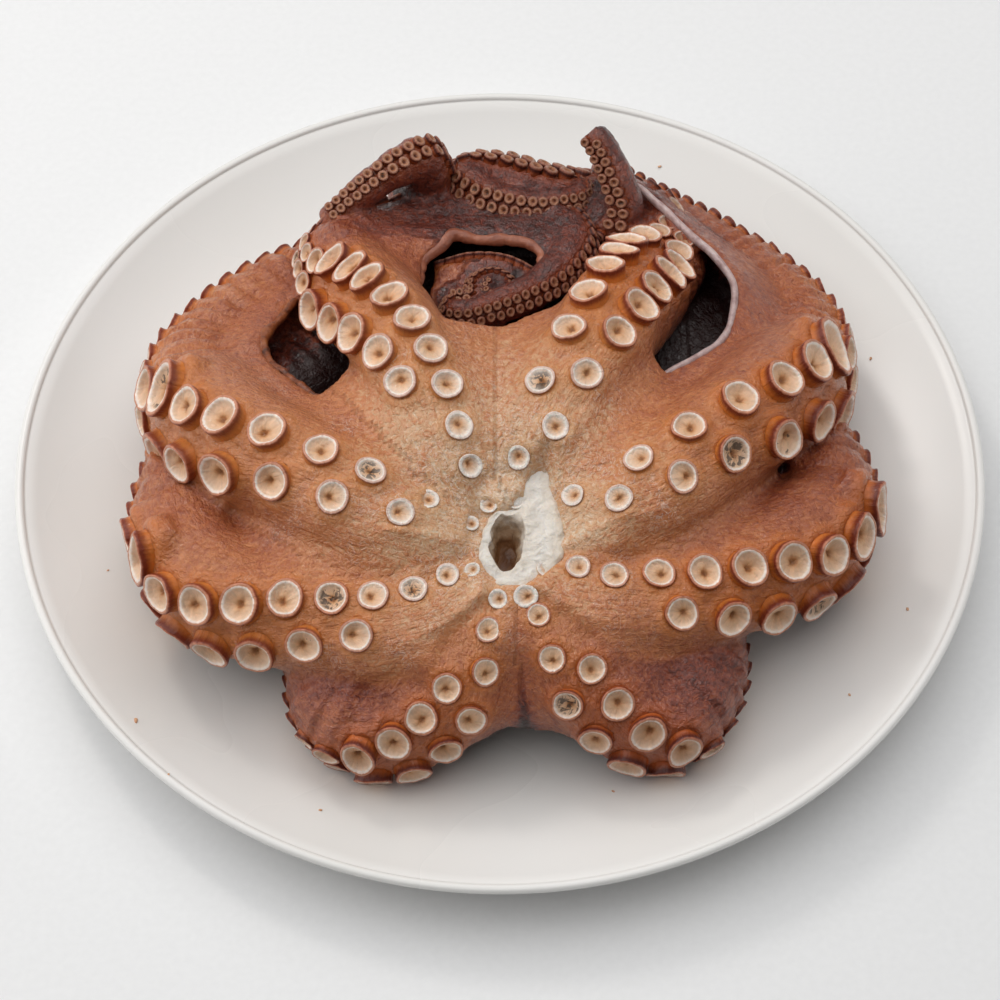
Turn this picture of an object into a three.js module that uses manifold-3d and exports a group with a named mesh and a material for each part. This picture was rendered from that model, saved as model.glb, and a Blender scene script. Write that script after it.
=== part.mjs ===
// A whole boiled octopus lying mouth up on a round coupe plate.
// Millimetres, +Z up. The origin is the centre of the plate's foot, on the table.
// The arms reach out from the mouth, roll over above the plate's flat and curl back under,
// with the two rows of suckers always on the outside of the curl.
import * as THREE from "three";
import { ConvexGeometry } from "three/addons/geometries/ConvexGeometry.js";
import { SimplifyModifier } from "three/addons/modifiers/SimplifyModifier.js";
import { mergeVertices } from "three/addons/utils/BufferGeometryUtils.js";
import Module from "manifold-3d";

const wasm = await Module();
wasm.setup();

// ---- driving dimensions ------------------------------------------------------------

const PLATE = {
  rimRadius: 160,
  rimHeight: 24,
  lipThickness: 3,
  lipDrop: 1,           // from the lip's crest to the dish just inside it
  flatRadius: 104,      // the nearly flat middle of the dish
  flatHeight: 6.5,      // top of the dish at its centre
  dishRadii: [147, 134, 120],
  wall: 4.2,
  footRadius: 96,
  footWidth: 8,
  footHeight: 2.2,
  footSlope: 2.5,
  segments: 56,
};

const ARM = {
  mouthBreadth: 0.6,    // its breadth at the mouth, as a share of its full breadth
  fullFrom: 45,         // distance from the mouth at which it is full
  thinFrom: 110,        // distance from which it thins towards its tip
  turning: 40,          // length over which it goes from one curl's centre to the next
  bulge: 2.35,          // power of the oval that its section is, 2 being a plain ellipse
  ringSpacing: 0.34,    // spacing of its sections, as a share of its breadth
  ringLimits: [4, 9],
};

const CONTACT_GAP = 0.3;        // between the octopus and the glaze it lies on

const BODY = {
  mouth: [1.5, -60.5, 62],
  mouthRadius: 7,
  mouthDepth: 12,
  lipCentre: [2, -60.5, 53],    // the flesh round the mouth
  lipRadii: [20, 18, 9],
  // The head and body sac, folded away under the crown: the lobes it lies in.
  lobes: [
    { centre: [0, -14, 31], radii: [63, 57, 28] },
    { centre: [-2, 66, 23], radii: [54, 32, 15] },
    { centre: [-62, 38, 19], radii: [34, 32, 17] },
    { centre: [60, 44, 19], radii: [32, 40, 17] },
  ],
};

const SUCKER = {
  first: 5,             // diameter beside the mouth
  onCrown: 13.5,        // the widest on the crown
  crownReach: 80,       // distance from the mouth at which they are that wide
  swell: 20,            // length before an arm's shoulder over which they swell to its peak
  shrink: 24,           // length behind it over which they shrink to the fan's size
  wallHeight: 0.3,      // how far a cup near the mouth stands out, as a share of its diameter
  outerRise: 1.35,      // how many times as far the cups stand out further along the arm
  rising: [40, 90],     // distances from the mouth between which they come to that
  fanRise: 0.8,         // and, on top of that, in a fan
  proud: 14,            // wider cups than this stand no prouder
  root: 0.3,            // how far it reaches into the flesh
  cupDepth: 0.15,
  neck: 0.97,           // the wall's foot, as a share of its outer radius
  lip: 0.8,             // the rim's inner edge, as a share of its outer radius
  lipRound: 0.12,       // how far the rim's outer edge is rounded down, in the same share
  smallest: 4.2,        // finer cups than this lie flat in the skin
  roundAbove: 11,       // wider cups than this have a lip with a breadth of its own
  rowSpread: 0.54,      // a row's distance from the midline, as a share of the diameter
  fanSpread: 0.46,      // the same in the fans, where the cups crowd together
  fanPitch: 0.93,       // spacing along a fan, as a share of the diameter
  fanStretch: [0.45, 2],  // how much closer or wider the seats may run than the midline
  closing: [6, 8],      // lengths before and behind the shoulder over which the rows close up
  rowLimit: 0.3,        // the row's distance as a share of the arm's breadth, at most
  splay: 0.38,          // radians by which a row leans away from the midline
  fanSplay: 0.08,       // the same in a fan
  shingle: 0.2,         // how far a fan's cups lean back, one over the next
  pressed: 0.97,        // the part of its room that a cup fills when its neighbours press it
  narrowest: 0.5,       // the least breadth along the row that pressing leaves
};

const WEB = {
  thickness: 6,
  crownDepth: 0.1,      // where it leaves the flanks beside the mouth, as WEBS' depth
  gather: 0.14,         // how far its free edge is drawn in, as a share of its reach
};
const FLAP_THICKNESS = 3.4;
const FINISH_POINTS = 5750;     // points kept when the joined octopus is simplified
const FINISH_PASSES = 5;
const BEAD_RADIUS = 0.5;        // of the bead of flesh that closes a pinched seam

// An arm's route is the midline between its two rows of suckers, out from the mouth.
// width: the arm's greatest breadth; taper: the power by which it thins to its tip's breadth;
// curls: the points that the arm curls round, each from a distance along it onwards;
// suckers: growth from the mouth to the shoulder, then the fan's cups, smaller to the end;
// rows: [start, spacing at the mouth, spacing at the shoulder], first the row on the side
// of tangent x facing, then the one opposite.
const ARMS = {
  back_left: {
    route: [[-7, -48, 62], [-15, -37, 72], [-21, -19, 78], [-30, -1, 80], [-41, 15, 77],
      [-52, 29, 70], [-61, 43, 62], [-65, 60, 56], [-53, 76, 50], [-34, 86, 47], [-14, 90, 46],
      [7, 89, 46], [23, 83, 48], [31, 68, 52], [27, 54, 55], [19, 44, 56], [9, 37, 57],
      [-2, 32, 57], [-11, 30, 56], [-18, 33, 54], [-17, 40, 53]],
    coil: { centre: [-2, 46], radius: [9, 2.5], height: [52, 53], start: 3.5, turns: -1.35 },
    width: 34, taper: 0.85, tip: 3.5, aspect: 0.86,
    curls: [[0, null], [150, [-18, 60, 34]], [290, [-3, 46, 46]]],
    suckers: { shoulder: 100, peak: 14.5, fan: 7, end: 2 }, rows: [[12, 15, 8.5], [46, 16, 13.5]],
  },
  back_right: {
    route: [[9, -42, 63], [11, -30, 73], [19, -12, 78], [28, 3, 80], [36, 20, 77], [44, 36, 71],
      [52, 54, 61], [60, 72, 51], [60, 90, 42], [47, 99, 42], [33, 99, 46], [17, 98, 50],
      [0, 102, 52], [-12, 102, 52], [-17, 96, 52], [-11, 86, 54], [0, 80, 55], [12, 78, 55],
      [22, 80, 54], [30, 85, 52], [31, 92, 50], [24, 97, 49]],
    coil: { centre: [16, 92], radius: [5.5, 2.5], height: [49, 47], start: 1.2, turns: 1.2 },
    width: 35, taper: 0.75, tip: 4.5, aspect: 0.86,
    curls: [[0, null], [110, [44, 50, 20]], [170, [30, 78, 34]], [215, [8, 92, 38]]],
    suckers: { shoulder: 105, peak: 14.5, fan: 8, end: 2 }, rows: [[21, 24, 8], [9, 26, 8]],
  },
  right: {
    route: [[17, -54, 62], [33, -47, 70], [49, -42, 74], [65, -31, 73], [83, -19, 69],
      [99, -4, 60], [110, 10, 48], [115, 28, 38], [112, 50, 32], [98, 72, 30], [76, 91, 30],
      [52, 106, 33], [34, 115, 38]],
    width: 39, taper: 1.35, tip: 8, aspect: 0.94,
    curls: [[0, null], [140, [45, 34, 24]]],
    suckers: { shoulder: 118, peak: 20, fan: 10.6, end: 3.6 }, rows: [[21, 19, 21], [9, 23, 13.6]],
  },
  left: {
    route: [[-9, -53, 63], [-26, -52, 70], [-48, -47, 74], [-66, -39, 73], [-85, -31, 69],
      [-102, -17, 59], [-113, 0, 46], [-115, 22, 37], [-109, 41, 32], [-91, 64, 30],
      [-69, 79, 29], [-49, 87, 28], [-30, 91, 30], [-21, 95, 42], [-19, 95, 59], [-23, 91, 71],
      [-33, 84, 73], [-47, 76, 67], [-60, 69, 59]],
    width: 39, taper: 1.3, tip: 8, aspect: 0.94,
    curls: [[0, null], [140, [-52, 30, 24]], [262, [-52, 60, 30]], [296, [-44, 84, 50]]],
    suckers: { shoulder: 118, peak: 20, fan: 10.6, end: 3.2 }, rows: [[34, 19, 14], [22, 21, 17.5]],
  },
  low_left: {
    route: [[-7, -71, 60], [-21, -80, 59], [-39, -84, 57], [-59, -84, 53], [-76, -83, 48],
      [-90, -79, 43], [-103, -69, 37], [-111, -53, 32], [-115, -35, 28], [-113, -12, 24],
      [-97, 14, 20], [-72, 36, 19], [-43, 58, 18], [-20, 72, 18], [6, 78, 18], [30, 72, 18]],
    width: 37, taper: 1.5, tip: 20, aspect: 0.9,
    curls: [[0, null], [125, [-58, -36, 44]]],
    suckers: { shoulder: 122, peak: 21, fan: 10, end: 2 }, rows: [[8, 12.5, 15.5], [40, 17, 15.5]],
  },
  low_right: {
    route: [[12, -68, 60], [29, -76, 59], [47, -76, 57], [66, -75, 54], [83, -70, 49],
      [99, -62, 43], [111, -51, 37], [118, -35, 31], [117, -13, 27], [109, 9, 23], [94, 30, 20],
      [76, 54, 19], [60, 78, 20], [47, 96, 24], [36, 104, 29], [31, 95, 36], [31, 77, 43],
      [36, 69, 50], [40, 73, 57], [37, 82, 64], [33, 90, 69], [29, 96, 72]],
    width: 37, taper: 0.85, tip: 10, aspect: 0.9,
    curls: [[0, null], [125, [60, -36, 44]], [318, [40, 92, 60]], [355, [60, 110, 40]]],
    suckers: { shoulder: 122, peak: 21, fan: 10, end: 3.4 }, rows: [[45, 15, 17.5], [11, 13.5, 15]],
  },
  front_left: {
    route: [[-5, -74, 58], [-9, -93, 53], [-11, -105, 44], [-18, -111, 36], [-28, -115, 27],
      [-40, -116, 22], [-51, -112, 19], [-60, -104, 18], [-64, -90, 18], [-63, -74, 18],
      [-55, -60, 18], [-50, -44, 18], [-55, -24, 18], [-61, -4, 18]],
    width: 33, taper: 0.8, tip: 14, aspect: 0.9,
    curls: [[0, null], [95, [-34, -80, 30]], [250, [-20, -20, 26]]],
    suckers: { shoulder: 72, peak: 13, fan: 8, end: 2 }, rows: [[34, 17, 12], [14, 14, 11]],
  },
  front_right: {
    route: [[11, -72, 58], [19, -90, 53], [24, -102, 45], [33, -110, 36], [43, -114, 28],
      [53, -114, 23], [62, -110, 19], [69, -101, 18], [74, -88, 18], [74, -72, 18],
      [66, -57, 18], [60, -40, 18], [63, -20, 18], [66, 0, 18], [62, 20, 18], [50, 36, 18]],
    width: 33, taper: 0.8, tip: 14, aspect: 0.9,
    curls: [[0, null], [95, [48, -80, 30]], [250, [20, -10, 26]]],
    suckers: { shoulder: 72, peak: 13, fan: 8, end: 2 }, rows: [[11, 14.5, 12], [32, 17, 13]],
  },
};

// Webs of skin join neighbouring arms. reach: how far along each arm the web goes;
// depth: where it leaves each arm's flank, as a share of the arm's depth below its suckers.
const WEBS = [
  { arms: ["back_left", "back_right"], reach: [68, 80], depth: [0.3, 0.3], sag: 6 },
  { arms: ["back_right", "right"], reach: [76, 74], depth: [0.4, 0.3], sag: 7 },
  { arms: ["right", "low_right"], reach: [116, 108], depth: [0.8, 0.34], sag: 3 },
  { arms: ["low_right", "front_right"], reach: [92, 88], depth: [0.6, 0.3], sag: 3 },
  { arms: ["front_right", "front_left"], reach: [52, 50], depth: [0.3, 0.3], sag: 4 },
  { arms: ["front_left", "low_left"], reach: [84, 92], depth: [0.3, 0.6], sag: 3 },
  { arms: ["low_left", "left"], reach: [108, 116], depth: [0.34, 0.8], sag: 3 },
  { arms: ["left", "back_left"], reach: [84, 80], depth: [0.3, 0.4], sag: 7 },
];

// Flaps are the free edges of torn web. Each runs from one flank of an arm, between two
// distances along it, to the free edge. rolled: how thick it is there.
const FLAPS = [
  {
    arm: "back_left", from: 72, to: 256, side: 1, rolled: 4.6,
    edge: [[-27, 40, 59], [-27, 48, 57], [-25, 55, 56], [-20, 60, 56], [-16, 65, 56],
      [-7, 64, 55], [2, 64, 55], [10, 62, 55], [14, 57, 55], [13, 51, 55]],
  },
  {
    arm: "right", from: 78, to: 286, side: -1, rolled: 2.8,
    edge: [[46, -3, 60], [54, 3, 62], [63, 9, 62], [72, 18, 60], [76, 30, 58], [77, 43, 57],
      [72, 55, 56], [63, 66, 56], [54, 79, 55], [45, 90, 54]],
  },
  {
    arm: "left", from: 82, to: 226, side: 1, rolled: 2.4,
    edge: [[-50, -10, 61], [-60, -5, 62], [-68, 3, 60], [-75, 13, 56], [-77, 24, 52],
      [-73, 35, 48], [-68, 46, 45], [-62, 62, 38]],
  },
];
// A small fan of web folded inside the ring, between its lower line and its scalloped top.
const INNER_FAN = {
  lower: [[-26, 36, 47], [-12, 34, 47], [4, 40, 46], [14, 46, 46]],
  upper: [[-21, 57, 49], [-10, 59, 51], [2, 58, 51], [13, 53, 49]],
  thickness: 3,
};

// ---- helpers -----------------------------------------------------------------------

const clamp01 = (x) => Math.min(1, Math.max(0, x));
const smooth = (x) => clamp01(x) ** 2 * (3 - 2 * clamp01(x));
const mix = (a, b, t) => a + (b - a) * t;
const vector = (p) => new THREE.Vector3(...p);

/** A geometry with its positions alone, and its shared points merged. */
function bareGeometry(geometry) {
  const bare = geometry.index ? geometry.toNonIndexed() : geometry.clone();
  for (const name of Object.keys(bare.attributes)) {
    if (name !== "position") bare.deleteAttribute(name);
  }
  return mergeVertices(bare, 1e-4);
}

/** A three.js geometry as a manifold solid, its faces turned outwards. */
function solid(geometry) {
  const bare = bareGeometry(geometry);
  const index = bare.index.array;
  const kept = [];
  for (let i = 0; i < index.length; i += 3) {
    const [a, b, c] = [index[i], index[i + 1], index[i + 2]];
    if (a !== b && b !== c && c !== a) kept.push(a, b, c);
  }
  const made = (triVerts) => new wasm.Manifold(new wasm.Mesh({
    numProp: 3,
    vertProperties: new Float32Array(bare.attributes.position.array),
    triVerts: new Uint32Array(triVerts),
  }));
  const first = made(kept);
  return first.volume() > 0 ? first : made(kept.toReversed());
}

/** A manifold solid as a three.js geometry. */
function geometryOf(manifold) {
  const mesh = manifold.getMesh();
  const geometry = new THREE.BufferGeometry();
  geometry.setAttribute("position", new THREE.BufferAttribute(mesh.vertProperties, 3));
  geometry.setIndex(new THREE.BufferAttribute(mesh.triVerts, 1));
  geometry.computeVertexNormals();
  return geometry;
}

/** The solid's largest connected body. */
function largestBody(manifold) {
  return manifold.decompose().sort((a, b) => b.volume() - a.volume())[0];
}

/**
 * One convex solid for each neighbouring pair of rings. Each has a small plug that reaches
 * into the next, so that the stretches grow together.
 */
function stretches(rings, plug = 0.5) {
  const solids = [];
  for (let k = 0; k + 1 < rings.length; k++) {
    const points = [...rings[k], ...rings[k + 1]];
    if (k + 2 < rings.length) {
      const middle = (ring) => ring.reduce((sum, p) => sum.add(p), new THREE.Vector3())
        .divideScalar(ring.length);
      const here = middle(rings[k + 1]);
      const onward = middle(rings[k + 2]).sub(here).setLength(plug);
      for (const p of rings[k + 1]) points.push(p.clone().lerp(here, 0.2).add(onward));
    }
    solids.push(solid(new ConvexGeometry(points)));
  }
  return solids;
}

// ---- the plate ---------------------------------------------------------------------

const lipInside = PLATE.rimRadius - PLATE.lipThickness;

/** Height of the dish's upper surface at a radius: flat, then a curve up to the rim. */
function dishHeight(radius) {
  const climb = PLATE.rimHeight - PLATE.flatHeight;
  const run = PLATE.rimRadius - PLATE.lipThickness / 2 - PLATE.flatRadius;
  return PLATE.flatHeight + climb * clamp01((radius - PLATE.flatRadius) / run) ** 2;
}

/** The dish's upper surface as a profile from the lip in to the centre, raised by a gap. */
function dishProfile(gap) {
  const radii = [...PLATE.dishRadii, PLATE.flatRadius];
  return [[lipInside, dishHeight(lipInside) - PLATE.lipDrop + gap],
    ...radii.map((radius) => [radius, dishHeight(radius) + gap]),
    [0, PLATE.flatHeight + gap]];
}

function lathe(profile) {
  const points = profile.map(([r, z]) => new THREE.Vector2(r, z));
  return new THREE.LatheGeometry(points, PLATE.segments).rotateX(Math.PI / 2);
}

function plateGeometry() {
  const p = PLATE;
  const foot = [[0, p.footHeight], [p.footRadius - p.footWidth - p.footSlope, p.footHeight],
    [p.footRadius - p.footWidth, 0], [p.footRadius, 0],
    [p.footRadius + p.footSlope, p.footHeight]];
  const under = p.dishRadii.toReversed()
    .map((radius) => [radius + 2, dishHeight(radius) - p.wall]);
  const lip = [[p.rimRadius, p.rimHeight - 2.6], [p.rimRadius, p.rimHeight - 0.7],
    [p.rimRadius - 0.9, p.rimHeight], [lipInside + 0.7, p.rimHeight - 0.2]];
  return lathe([...foot, ...under, ...lip, ...dishProfile(0)]);
}

/** Everything below the dish's surface and a gap, to trim the octopus with. */
function dishBlank(gap) {
  const low = -30;
  const reach = PLATE.rimRadius + 30;
  return solid(lathe([[0, low], [reach, low], [reach, PLATE.rimHeight + 6],
    ...dishProfile(gap)]));
}

// ---- the arms ----------------------------------------------------------------------

/** A flat spiral of points, from the outer radius in to the inner one. */
function spiralPoints({ centre, radius, height, start, turns }) {
  const steps = Math.ceil(Math.abs(turns) * 9);
  return Array.from({ length: steps + 1 }, (_, k) => {
    const t = k / steps;
    const r = mix(radius[0], radius[1], t ** 0.8);
    const angle = start + turns * 2 * Math.PI * t;
    return [centre[0] + r * Math.cos(angle), centre[1] + r * Math.sin(angle),
      mix(height[0], height[1], t)];
  });
}

/** Works out an arm's frame, breadth and depth at any distance from the mouth. */
function armModel(arm) {
  const waypoints = arm.coil ? [...arm.route, ...spiralPoints(arm.coil)] : arm.route;
  const curve = new THREE.CatmullRomCurve3(waypoints.map(vector));
  curve.arcLengthDivisions = 600;
  const length = curve.getLength();
  const up = new THREE.Vector3(0, 0, 1);

  const widthAt = (s) => {
    const rise = mix(ARM.mouthBreadth, 1, smooth(s / ARM.fullFrom));
    const thin = clamp01((s - ARM.thinFrom) / (length - ARM.thinFrom)) ** arm.taper;
    return mix(arm.width, arm.tip, thin) * rise;
  };
  const awayFrom = (centre, point) => centre
    ? point.clone().sub(vector(centre)).normalize()
    : up.clone();
  const facingAt = (s, point) => {
    let k = arm.curls.length - 1;
    while (k > 0 && s < arm.curls[k][0]) k--;
    const here = awayFrom(arm.curls[k][1], point);
    if (k + 1 >= arm.curls.length) return here;
    const step = arm.curls[k + 1][0] - arm.curls[k][0];
    const span = k === 0 ? step : Math.min(ARM.turning, step);
    const t = smooth((s - (arm.curls[k + 1][0] - span)) / span);
    return here.lerp(awayFrom(arm.curls[k + 1][1], point), t).normalize();
  };
  const frameAt = (s) => {
    const u = clamp01(s / length);
    const point = curve.getPointAt(u);
    const along = curve.getTangentAt(u);
    const facing = facingAt(s, point);
    facing.addScaledVector(along, -facing.dot(along)).normalize();
    const across = along.clone().cross(facing);
    const width = widthAt(s);
    return { s, point, along, facing, across, width, depth: width * arm.aspect };
  };
  return { ...arm, length, frameAt };
}

/** The arm's cross-section: a rounded oval hanging from the sucker face. */
function sectionRing(frame) {
  const power = 2 / ARM.bulge;
  const sides = frame.width > 16 ? 10 : 8;
  const bend = (x) => Math.sign(x) * Math.abs(x) ** power;
  return Array.from({ length: sides }, (_, i) => {
    const angle = (i + 0.5) / sides * 2 * Math.PI;
    return frame.point.clone()
      .addScaledVector(frame.across, bend(Math.cos(angle)) * frame.width / 2)
      .addScaledVector(frame.facing, (bend(Math.sin(angle)) - 1) * frame.depth / 2);
  });
}

function armSolids(arm) {
  const [closest, widest] = ARM.ringLimits;
  const rings = [];
  for (let s = 0; s < arm.length;) {
    const frame = arm.frameAt(s);
    rings.push(sectionRing(frame));
    s += Math.max(closest, Math.min(widest, frame.width * ARM.ringSpacing));
  }
  rings.push(sectionRing(arm.frameAt(arm.length)));
  return stretches(rings);
}

/** A sheet as solids: each row is its points and half its thickness at each of them. */
function sheetSolids(rows) {
  const faces = rows.map((row) => row.map(([point, half]) => (
    [point.clone().add(half), point.clone().sub(half)])));
  const solids = [];
  for (let k = 0; k + 1 < faces[0].length; k++) {
    solids.push(...stretches(faces.map((row) => [...row[k], ...row[k + 1]])));
  }
  return solids;
}

/** The torn skin between an arm's flank and its free edge. */
function flapSolids(flap, arm) {
  const steps = 16;
  const edge = new THREE.CatmullRomCurve3(flap.edge.map(vector));
  const rows = Array.from({ length: steps + 1 }, (_, k) => {
    const frame = arm.frameAt(mix(flap.from, flap.to, k / steps));
    const root = frame.point.clone().addScaledVector(frame.facing, -frame.depth * 0.4)
      .addScaledVector(frame.across, flap.side * frame.width * 0.3);
    const tip = edge.getPointAt(k / steps);
    const middle = root.clone().lerp(tip, 0.5);
    middle.z += 1.5;
    const half = tip.clone().sub(root).cross(edge.getTangentAt(k / steps))
      .setLength(FLAP_THICKNESS / 2);
    return [[root, half], [middle, half],
      [tip, half.clone().multiplyScalar(flap.rolled / FLAP_THICKNESS)]];
  });
  return sheetSolids(rows);
}

function innerFanSolids() {
  const steps = 5;
  const half = new THREE.Vector3(0, 0, INNER_FAN.thickness / 2);
  const lines = [INNER_FAN.lower, INNER_FAN.upper].map(
    (line) => new THREE.CatmullRomCurve3(line.map(vector)));
  return sheetSolids(Array.from({ length: steps + 1 }, (_, k) => (
    lines.map((line) => [line.getPointAt(k / steps), half]))));
}

// ---- suckers -----------------------------------------------------------------------

/** Diameter of the cups at a distance from the mouth. */
function suckerDiameter(arm, s) {
  const { shoulder, peak, fan, end } = arm.suckers;
  const { first, onCrown, crownReach, swell, shrink } = SUCKER;
  const beyond = s - shoulder;
  if (beyond <= 0) {
    const near = mix(first, Math.min(onCrown, peak), clamp01(s / crownReach) ** 0.7);
    return mix(near, peak, smooth((beyond + swell) / swell));
  }
  const fallen = mix(peak, fan, smooth(beyond / shrink));
  return mix(fallen, end, clamp01((beyond - swell) / (arm.length - shoulder - swell)));
}

/** Where a row's cup sits at a distance from the mouth; side is 1 or -1. */
function cupSeat(arm, s, side) {
  const frame = arm.frameAt(s);
  const diameter = suckerDiameter(arm, s);
  const crowding = smooth((s - arm.suckers.shoulder) / SUCKER.swell);
  const share = mix(SUCKER.rowSpread, SUCKER.fanSpread, crowding);
  const spread = Math.min(diameter * share, frame.width * SUCKER.rowLimit);
  const sink = frame.depth / 2 * (1 - Math.sqrt(1 - (2 * spread / frame.width) ** 2));
  const seat = frame.point.clone().addScaledVector(frame.across, spread * side)
    .addScaledVector(frame.facing, -sink);
  return { s, seat, frame, diameter, crowding };
}

/** A row's cups: spaced on the crown, side by side in the fan. */
function cupRow(arm, row) {
  const [start, near, far] = arm.rows[row];
  const { shoulder } = arm.suckers;
  const [least, most] = SUCKER.fanStretch;
  const [before, behind] = SUCKER.closing;
  const side = row === 0 ? 1 : -1;
  const step = 0.25;
  const cups = [];
  for (let s = start; s < arm.length - 2;) {
    cups.push(cupSeat(arm, s, side));
    const stretch = cupSeat(arm, s + step, side).seat
      .distanceTo(cupSeat(arm, s - step, side).seat) / (2 * step);
    const onCrown = mix(near, far, clamp01(s / shoulder));
    const inFan = suckerDiameter(arm, s) * SUCKER.fanPitch
      / Math.min(most, Math.max(least, stretch));
    s += mix(onCrown, inFan, smooth((s - shoulder + before) / (before + behind)));
  }
  const gaps = cups.slice(1).map((cup, k) => cup.seat.distanceTo(cups[k].seat));
  cups.forEach((cup, k) => {
    const room = Math.min(gaps[k] ?? Infinity, gaps[k - 1] ?? Infinity);
    const free = room * SUCKER.pressed / cup.diameter;
    cup.squash = Math.min(1, Math.max(SUCKER.narrowest, free));
  });
  return cups;
}

/** One cup: a wall that flares a little from its neck, a lip and a dished inside. */
function suckerGeometry(diameter, neck, rise) {
  const r = diameter / 2;
  const top = diameter * SUCKER.wallHeight * rise;
  const broad = diameter > SUCKER.roundAbove;
  const lip = broad ? [[r, top - r * SUCKER.lipRound], [r * SUCKER.lip, top]] : [[r, top]];
  const profile = [[0, -diameter * SUCKER.root], [r * neck, -diameter * SUCKER.root],
    ...lip, [0, top - diameter * SUCKER.cupDepth]];
  const points = profile.map(([x, y]) => new THREE.Vector2(x, y));
  return new THREE.LatheGeometry(points, broad ? 10 : 8);
}

/** Both rows of cups of an arm, as solids. */
function suckerSolids(arm) {
  const [low, high] = SUCKER.rising;
  const placed = [1, -1].flatMap(
    (side, row) => cupRow(arm, row).map((cup) => ({ ...cup, side })));
  return placed.filter((cup) => cup.diameter >= SUCKER.smallest).map((cup) => {
    const { seat, frame, diameter, crowding, squash, side } = cup;
    const lean = mix(SUCKER.splay, SUCKER.fanSplay, crowding) * side;
    const normal = frame.facing.clone().multiplyScalar(Math.cos(lean))
      .addScaledVector(frame.across, Math.sin(lean))
      .addScaledVector(frame.along, -SUCKER.shingle * crowding).normalize();
    const along = frame.along.clone().addScaledVector(normal, -frame.along.dot(normal))
      .normalize();
    const third = along.clone().cross(normal);
    const turn = new THREE.Matrix4().makeBasis(third, normal, along.clone().negate());
    const neck = mix(SUCKER.neck, 1, crowding);
    const rise = mix(1, SUCKER.outerRise, smooth((cup.s - low) / (high - low)))
      * mix(1, SUCKER.fanRise, crowding) * Math.min(1, SUCKER.proud / diameter);
    return solid(suckerGeometry(diameter, neck, rise).scale(1, 1, squash).applyMatrix4(turn)
      .translate(seat.x, seat.y, seat.z));
  });
}

// ---- webs --------------------------------------------------------------------------

/** A sheet of skin between two arms' flanks, its free edge drawn in between them. */
function webSolids({ reach, depth, sag }, armA, armB) {
  const along = 5;
  const across = 4;
  const half = new THREE.Vector3(0, 0, WEB.thickness / 2);
  const flank = (arm, k, u, other) => {
    const frame = arm.frameAt(u * reach[k]);
    const toOther = other.frameAt(u * reach[k]).point.sub(frame.point);
    const side = Math.sign(toOther.dot(frame.across));
    const share = mix(WEB.crownDepth, depth[k], u ** 2);
    return frame.point.clone().addScaledVector(frame.facing, -frame.depth * share)
      .addScaledVector(frame.across, side * frame.width * 0.34);
  };
  return sheetSolids(Array.from({ length: along + 1 }, (_, i) => (
    Array.from({ length: across + 1 }, (_unused, j) => {
      const v = j / across;
      const hollow = 4 * v * (1 - v);
      const u = i / along * (1 - WEB.gather * hollow);
      const point = flank(armA, 0, u, armB).lerp(flank(armB, 1, u, armA), v);
      point.z -= sag * hollow * u;
      return [point, half];
    }))));
}

// ---- the octopus -------------------------------------------------------------------

/** The octopus at full detail: arms, cups, webs, mantle and mouth grown together. */
function joinedOctopus() {
  const arms = Object.fromEntries(
    Object.entries(ARMS).map(([name, arm]) => [name, armModel(arm)]));
  const pieces = [];
  for (const arm of Object.values(arms)) pieces.push(...armSolids(arm), ...suckerSolids(arm));
  for (const web of WEBS) pieces.push(...webSolids(web, arms[web.arms[0]], arms[web.arms[1]]));
  for (const flap of FLAPS) pieces.push(...flapSolids(flap, arms[flap.arm]));
  pieces.push(...innerFanSolids());
  pieces.push(solid(new THREE.SphereGeometry(1, 12, 6).scale(...BODY.lipRadii)
    .translate(...BODY.lipCentre)));
  for (const { centre, radii } of BODY.lobes) {
    pieces.push(solid(new THREE.SphereGeometry(1, 14, 9).scale(...radii).translate(...centre)));
  }
  const mouth = solid(new THREE.CylinderGeometry(BODY.mouthRadius, BODY.mouthRadius * 0.6,
    BODY.mouthDepth, 10).rotateX(Math.PI / 2).translate(...BODY.mouth));
  const rough = wasm.Manifold.union(pieces).subtract(mouth).subtract(dishBlank(-2));
  return largestBody(rough);
}

/** A slim bead along each edge at which more than two faces meet. */
function beadsOnPinches(geometry) {
  const index = geometry.index.array;
  const uses = new Map();
  for (let i = 0; i < index.length; i++) {
    const next = i % 3 === 2 ? index[i - 2] : index[i + 1];
    const key = `${Math.min(index[i], next)},${Math.max(index[i], next)}`;
    uses.set(key, (uses.get(key) ?? 0) + 1);
  }
  const pinched = [...uses].filter(([, count]) => count > 2).map(([key]) => key.split(","));
  return pinched.map((ends) => {
    const [a, b] = ends.map(
      (end) => new THREE.Vector3().fromBufferAttribute(geometry.attributes.position, +end));
    const along = b.clone().sub(a).setLength(BEAD_RADIUS);
    const across = new THREE.Vector3(along.y, along.z, along.x).cross(along)
      .setLength(BEAD_RADIUS);
    const middle = a.clone().lerp(b, 0.5);
    const waist = [0, 1, 2].map((k) => across.clone()
      .applyAxisAngle(along.clone().normalize(), k * 2 * Math.PI / 3).add(middle));
    return solid(new ConvexGeometry([a.clone().sub(along), ...waist, b.clone().add(along)]));
  });
}

/**
 * The octopus with its flesh's facets merged, trimmed to lie on the dish. Merging can pinch
 * the flesh along an edge, so each pass closes what it pinched.
 */
async function octopusSolid() {
  let flesh = joinedOctopus();
  for (let pass = 0; pass < FINISH_PASSES; pass++) {
    const fine = bareGeometry(geometryOf(flesh));
    const surplus = fine.attributes.position.count - FINISH_POINTS;
    if (surplus <= 0) break;
    const plain = bareGeometry(await new SimplifyModifier().modify(fine, surplus));
    flesh = largestBody(wasm.Manifold.union([solid(plain), ...beadsOnPinches(plain)]));
  }
  return largestBody(flesh.subtract(dishBlank(CONTACT_GAP)));
}

// ---- the group ---------------------------------------------------------------------

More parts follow.
